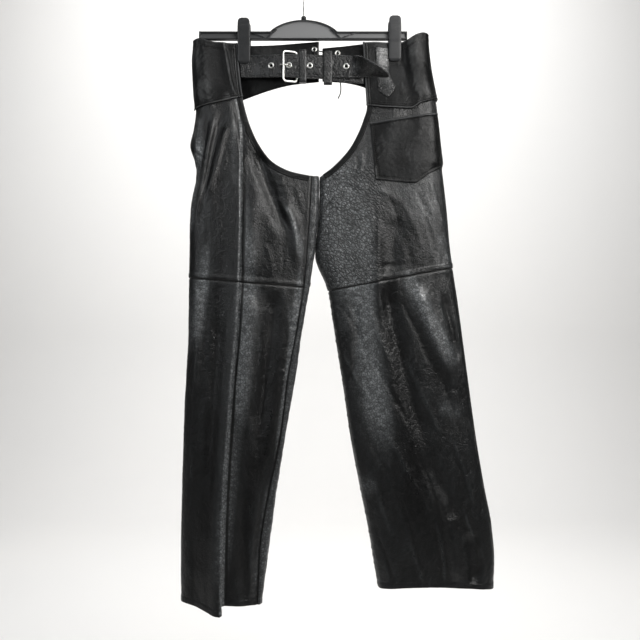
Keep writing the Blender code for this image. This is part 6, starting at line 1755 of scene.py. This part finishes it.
def buildClips():
    # a jaw is an outline that narrows and widens on its way down: each level is a
    # rounded oblong, and both ends close to a soft edge
    c = clipSet
    turn = np.linspace(0, 2 * math.pi, 40, endpoint=False)
    ovalX, ovalY = (np.sign(a) * np.abs(a) ** c["corner"] for a in (np.cos(turn), np.sin(turn)))
    length, end = jaw["down"][-1], 4.0
    down = steps((0, length, 60), (0, 3, 8), (length - end, length, 9))
    outer, inner, half = (along(jaw["down"], jaw[k], down) for k in ("outer", "inner", "half"))
    half = half - 0.7 * end * (1 - np.sqrt(1 - (1 - (length - down).clip(0, end) / end) ** 2))
    groove = 0.5 * bell(down - 11.5, 0.8)
    out = (0.5 * (outer + inner))[:, None] + (0.5 * (outer - inner) - groove)[:, None] * ovalY
    # the fold mark lightens the jaws' corners, part wear and part painted highlight; a faint painted web
    # light all over
    edge = np.clip(1.2 * np.abs(ovalX) ** 6 * np.abs(ovalY) ** 2, 0, 1) * np.ones_like(out)
    marks = {"fold": edge.ravel(), "paintedWebLight": np.full(out.size, c["paintedWebLight"])}
    wide, depth = c["bridge"]
    bridgeDown = np.array([0, 0.3, 1.0, 2.0, 9, 15.5, 16.5, 17.2, 17.5]) + c["bridgeTop"]
    shrink = np.array([0.86, 0.94, 0.985, 1, 1, 1, 0.985, 0.94, 0.86])[:, None]
    for side, middle, top in c["places"]:
        x = middle + half[:, None] * ovalX
        for place, sign in (("front", 1), ("back", -1)):
            rings = np.stack([x, -sign * out, np.broadcast_to(-(top + down)[:, None], x.shape)], axis=-1)
            loft("clip%s%sJaw" % (side.capitalize(), place.capitalize()), rings, mouldedPlastic,
                 ("clip_%s_%s_jaw" % (side, place),), marks=marks)
        x = middle + wide * shrink * ovalX
        rings = np.stack([x, depth * shrink * ovalY, np.broadcast_to(-(top + bridgeDown)[:, None], x.shape)],
                         axis=-1)
        loft("clip%sBridge" % side.capitalize(), rings, mouldedPlastic, ("clip_%s_bridge" % side,))


buildHanger()
buildClips()
print("hanger and clips made")


roomSet = {"floor": -1.62, "wall": 3.2, "bend": 0.9, "wide": 4.0, "high": 3.0, "colour": (0.80, 0.79, 0.775)}
lightSet = (
    # name, place, aimed at, size, power, colour
    ("key", (0.75, -0.95, 0.1), (0.05, 0.0, -0.5), 0.6, 15.0, (1.0, 0.99, 0.97)),
    ("second", (-1.1, -1.2, 0.0), (-0.05, 0.0, -0.6), 0.5, 6.0, (0.95, 0.98, 1.0)),
    ("top", (0.2, -0.7, 0.9), (0.05, 0.0, -0.2), 0.6, 5.0, (1.0, 1.0, 1.0)),
    ("wall", (0.0, 1.3, 1.2), (0.0, 3.2, -0.7), 3.0, 104.0, (1.0, 1.0, 1.0)),
    ("rear", (0.4, 1.5, 0.3), (0.0, 0.0, -0.6), 1.2, 8.0, (1.0, 1.0, 1.0)),
)
worldSet = {"light": (0.86, 0.87, 0.88, 1), "power": 0.07, "seen": (0.80, 0.80, 0.79, 1), "seenPower": 0.85}


def paperNet(tree, place, colour):
    tone = group(tree, "tone", place, Size=1.5)
    return {"Base Color": layered(tree, colour, ((tone["Tone"], 0.3, (0.76, 0.76, 0.755)),))}


def buildRoom(r):
    # a floor that bends up into a pale wall far behind
    lean = np.linspace(0, math.pi / 2, 24)
    run = np.concatenate([[-0.9], r["wall"] - r["bend"] + r["bend"] * np.sin(lean), [r["wall"]]])
    rise = np.concatenate([[0], r["bend"] * (1 - np.cos(lean)), [r["high"]]]) + r["floor"]
    across = np.linspace(-r["wide"], r["wide"], 9)
    grid = np.stack(np.broadcast_arrays(across[None], run[:, None], rise[:, None]), axis=-1)
    mesh = bpy.data.meshes.new("paleFloor")
    mesh.from_pydata(grid.reshape(-1, 3).tolist(), [], gridQuads(*grid.shape[:2]).tolist())
    mesh.shade_smooth()
    paper = newFinish("palePaper", {"Specular IOR Level": 0.1, "Roughness": 0.9}, paperNet, r["colour"])
    mesh.materials.append(paper)
    newObject("paleFloor", mesh)


def buildLights(w):
    for name, place, aim, size, power, colour in lightSet:
        data = bpy.data.lights.new(name, "AREA")
        data.size, data.energy, data.color = size, power, colour
        lamp = newObject(name, data)
        lamp.location = place
        lamp.rotation_euler = (Vector(aim) - Vector(place)).to_track_quat("-Z", "Y").to_euler()
    world = bpy.data.worlds.new("paleRoom")
    world.use_nodes = True
    tree = world.node_tree
    feed(tree, tree.nodes["Background"], {"Color": w["light"], "Strength": w["power"]})
    # the room's open sides look as pale as its wall, and light the leather no more for it
    pale = addNode(tree, "Background", {"Color": w["seen"], "Strength": w["seenPower"]})[0]
    both = addNode(tree, "MixShader", {0: addNode(tree, "LightPath")["Is Camera Ray"],
                                       1: tree.nodes["Background"].outputs[0], 2: pale})
    feed(tree, tree.nodes["World Output"], {"Surface": both[0]})
    bpy.context.scene.world = world


buildRoom(roomSet)
buildLights(worldSet)
laceThong.data.materials.append(laceLeather)
print("room and lights set")
bpy.context.view_layer.update()
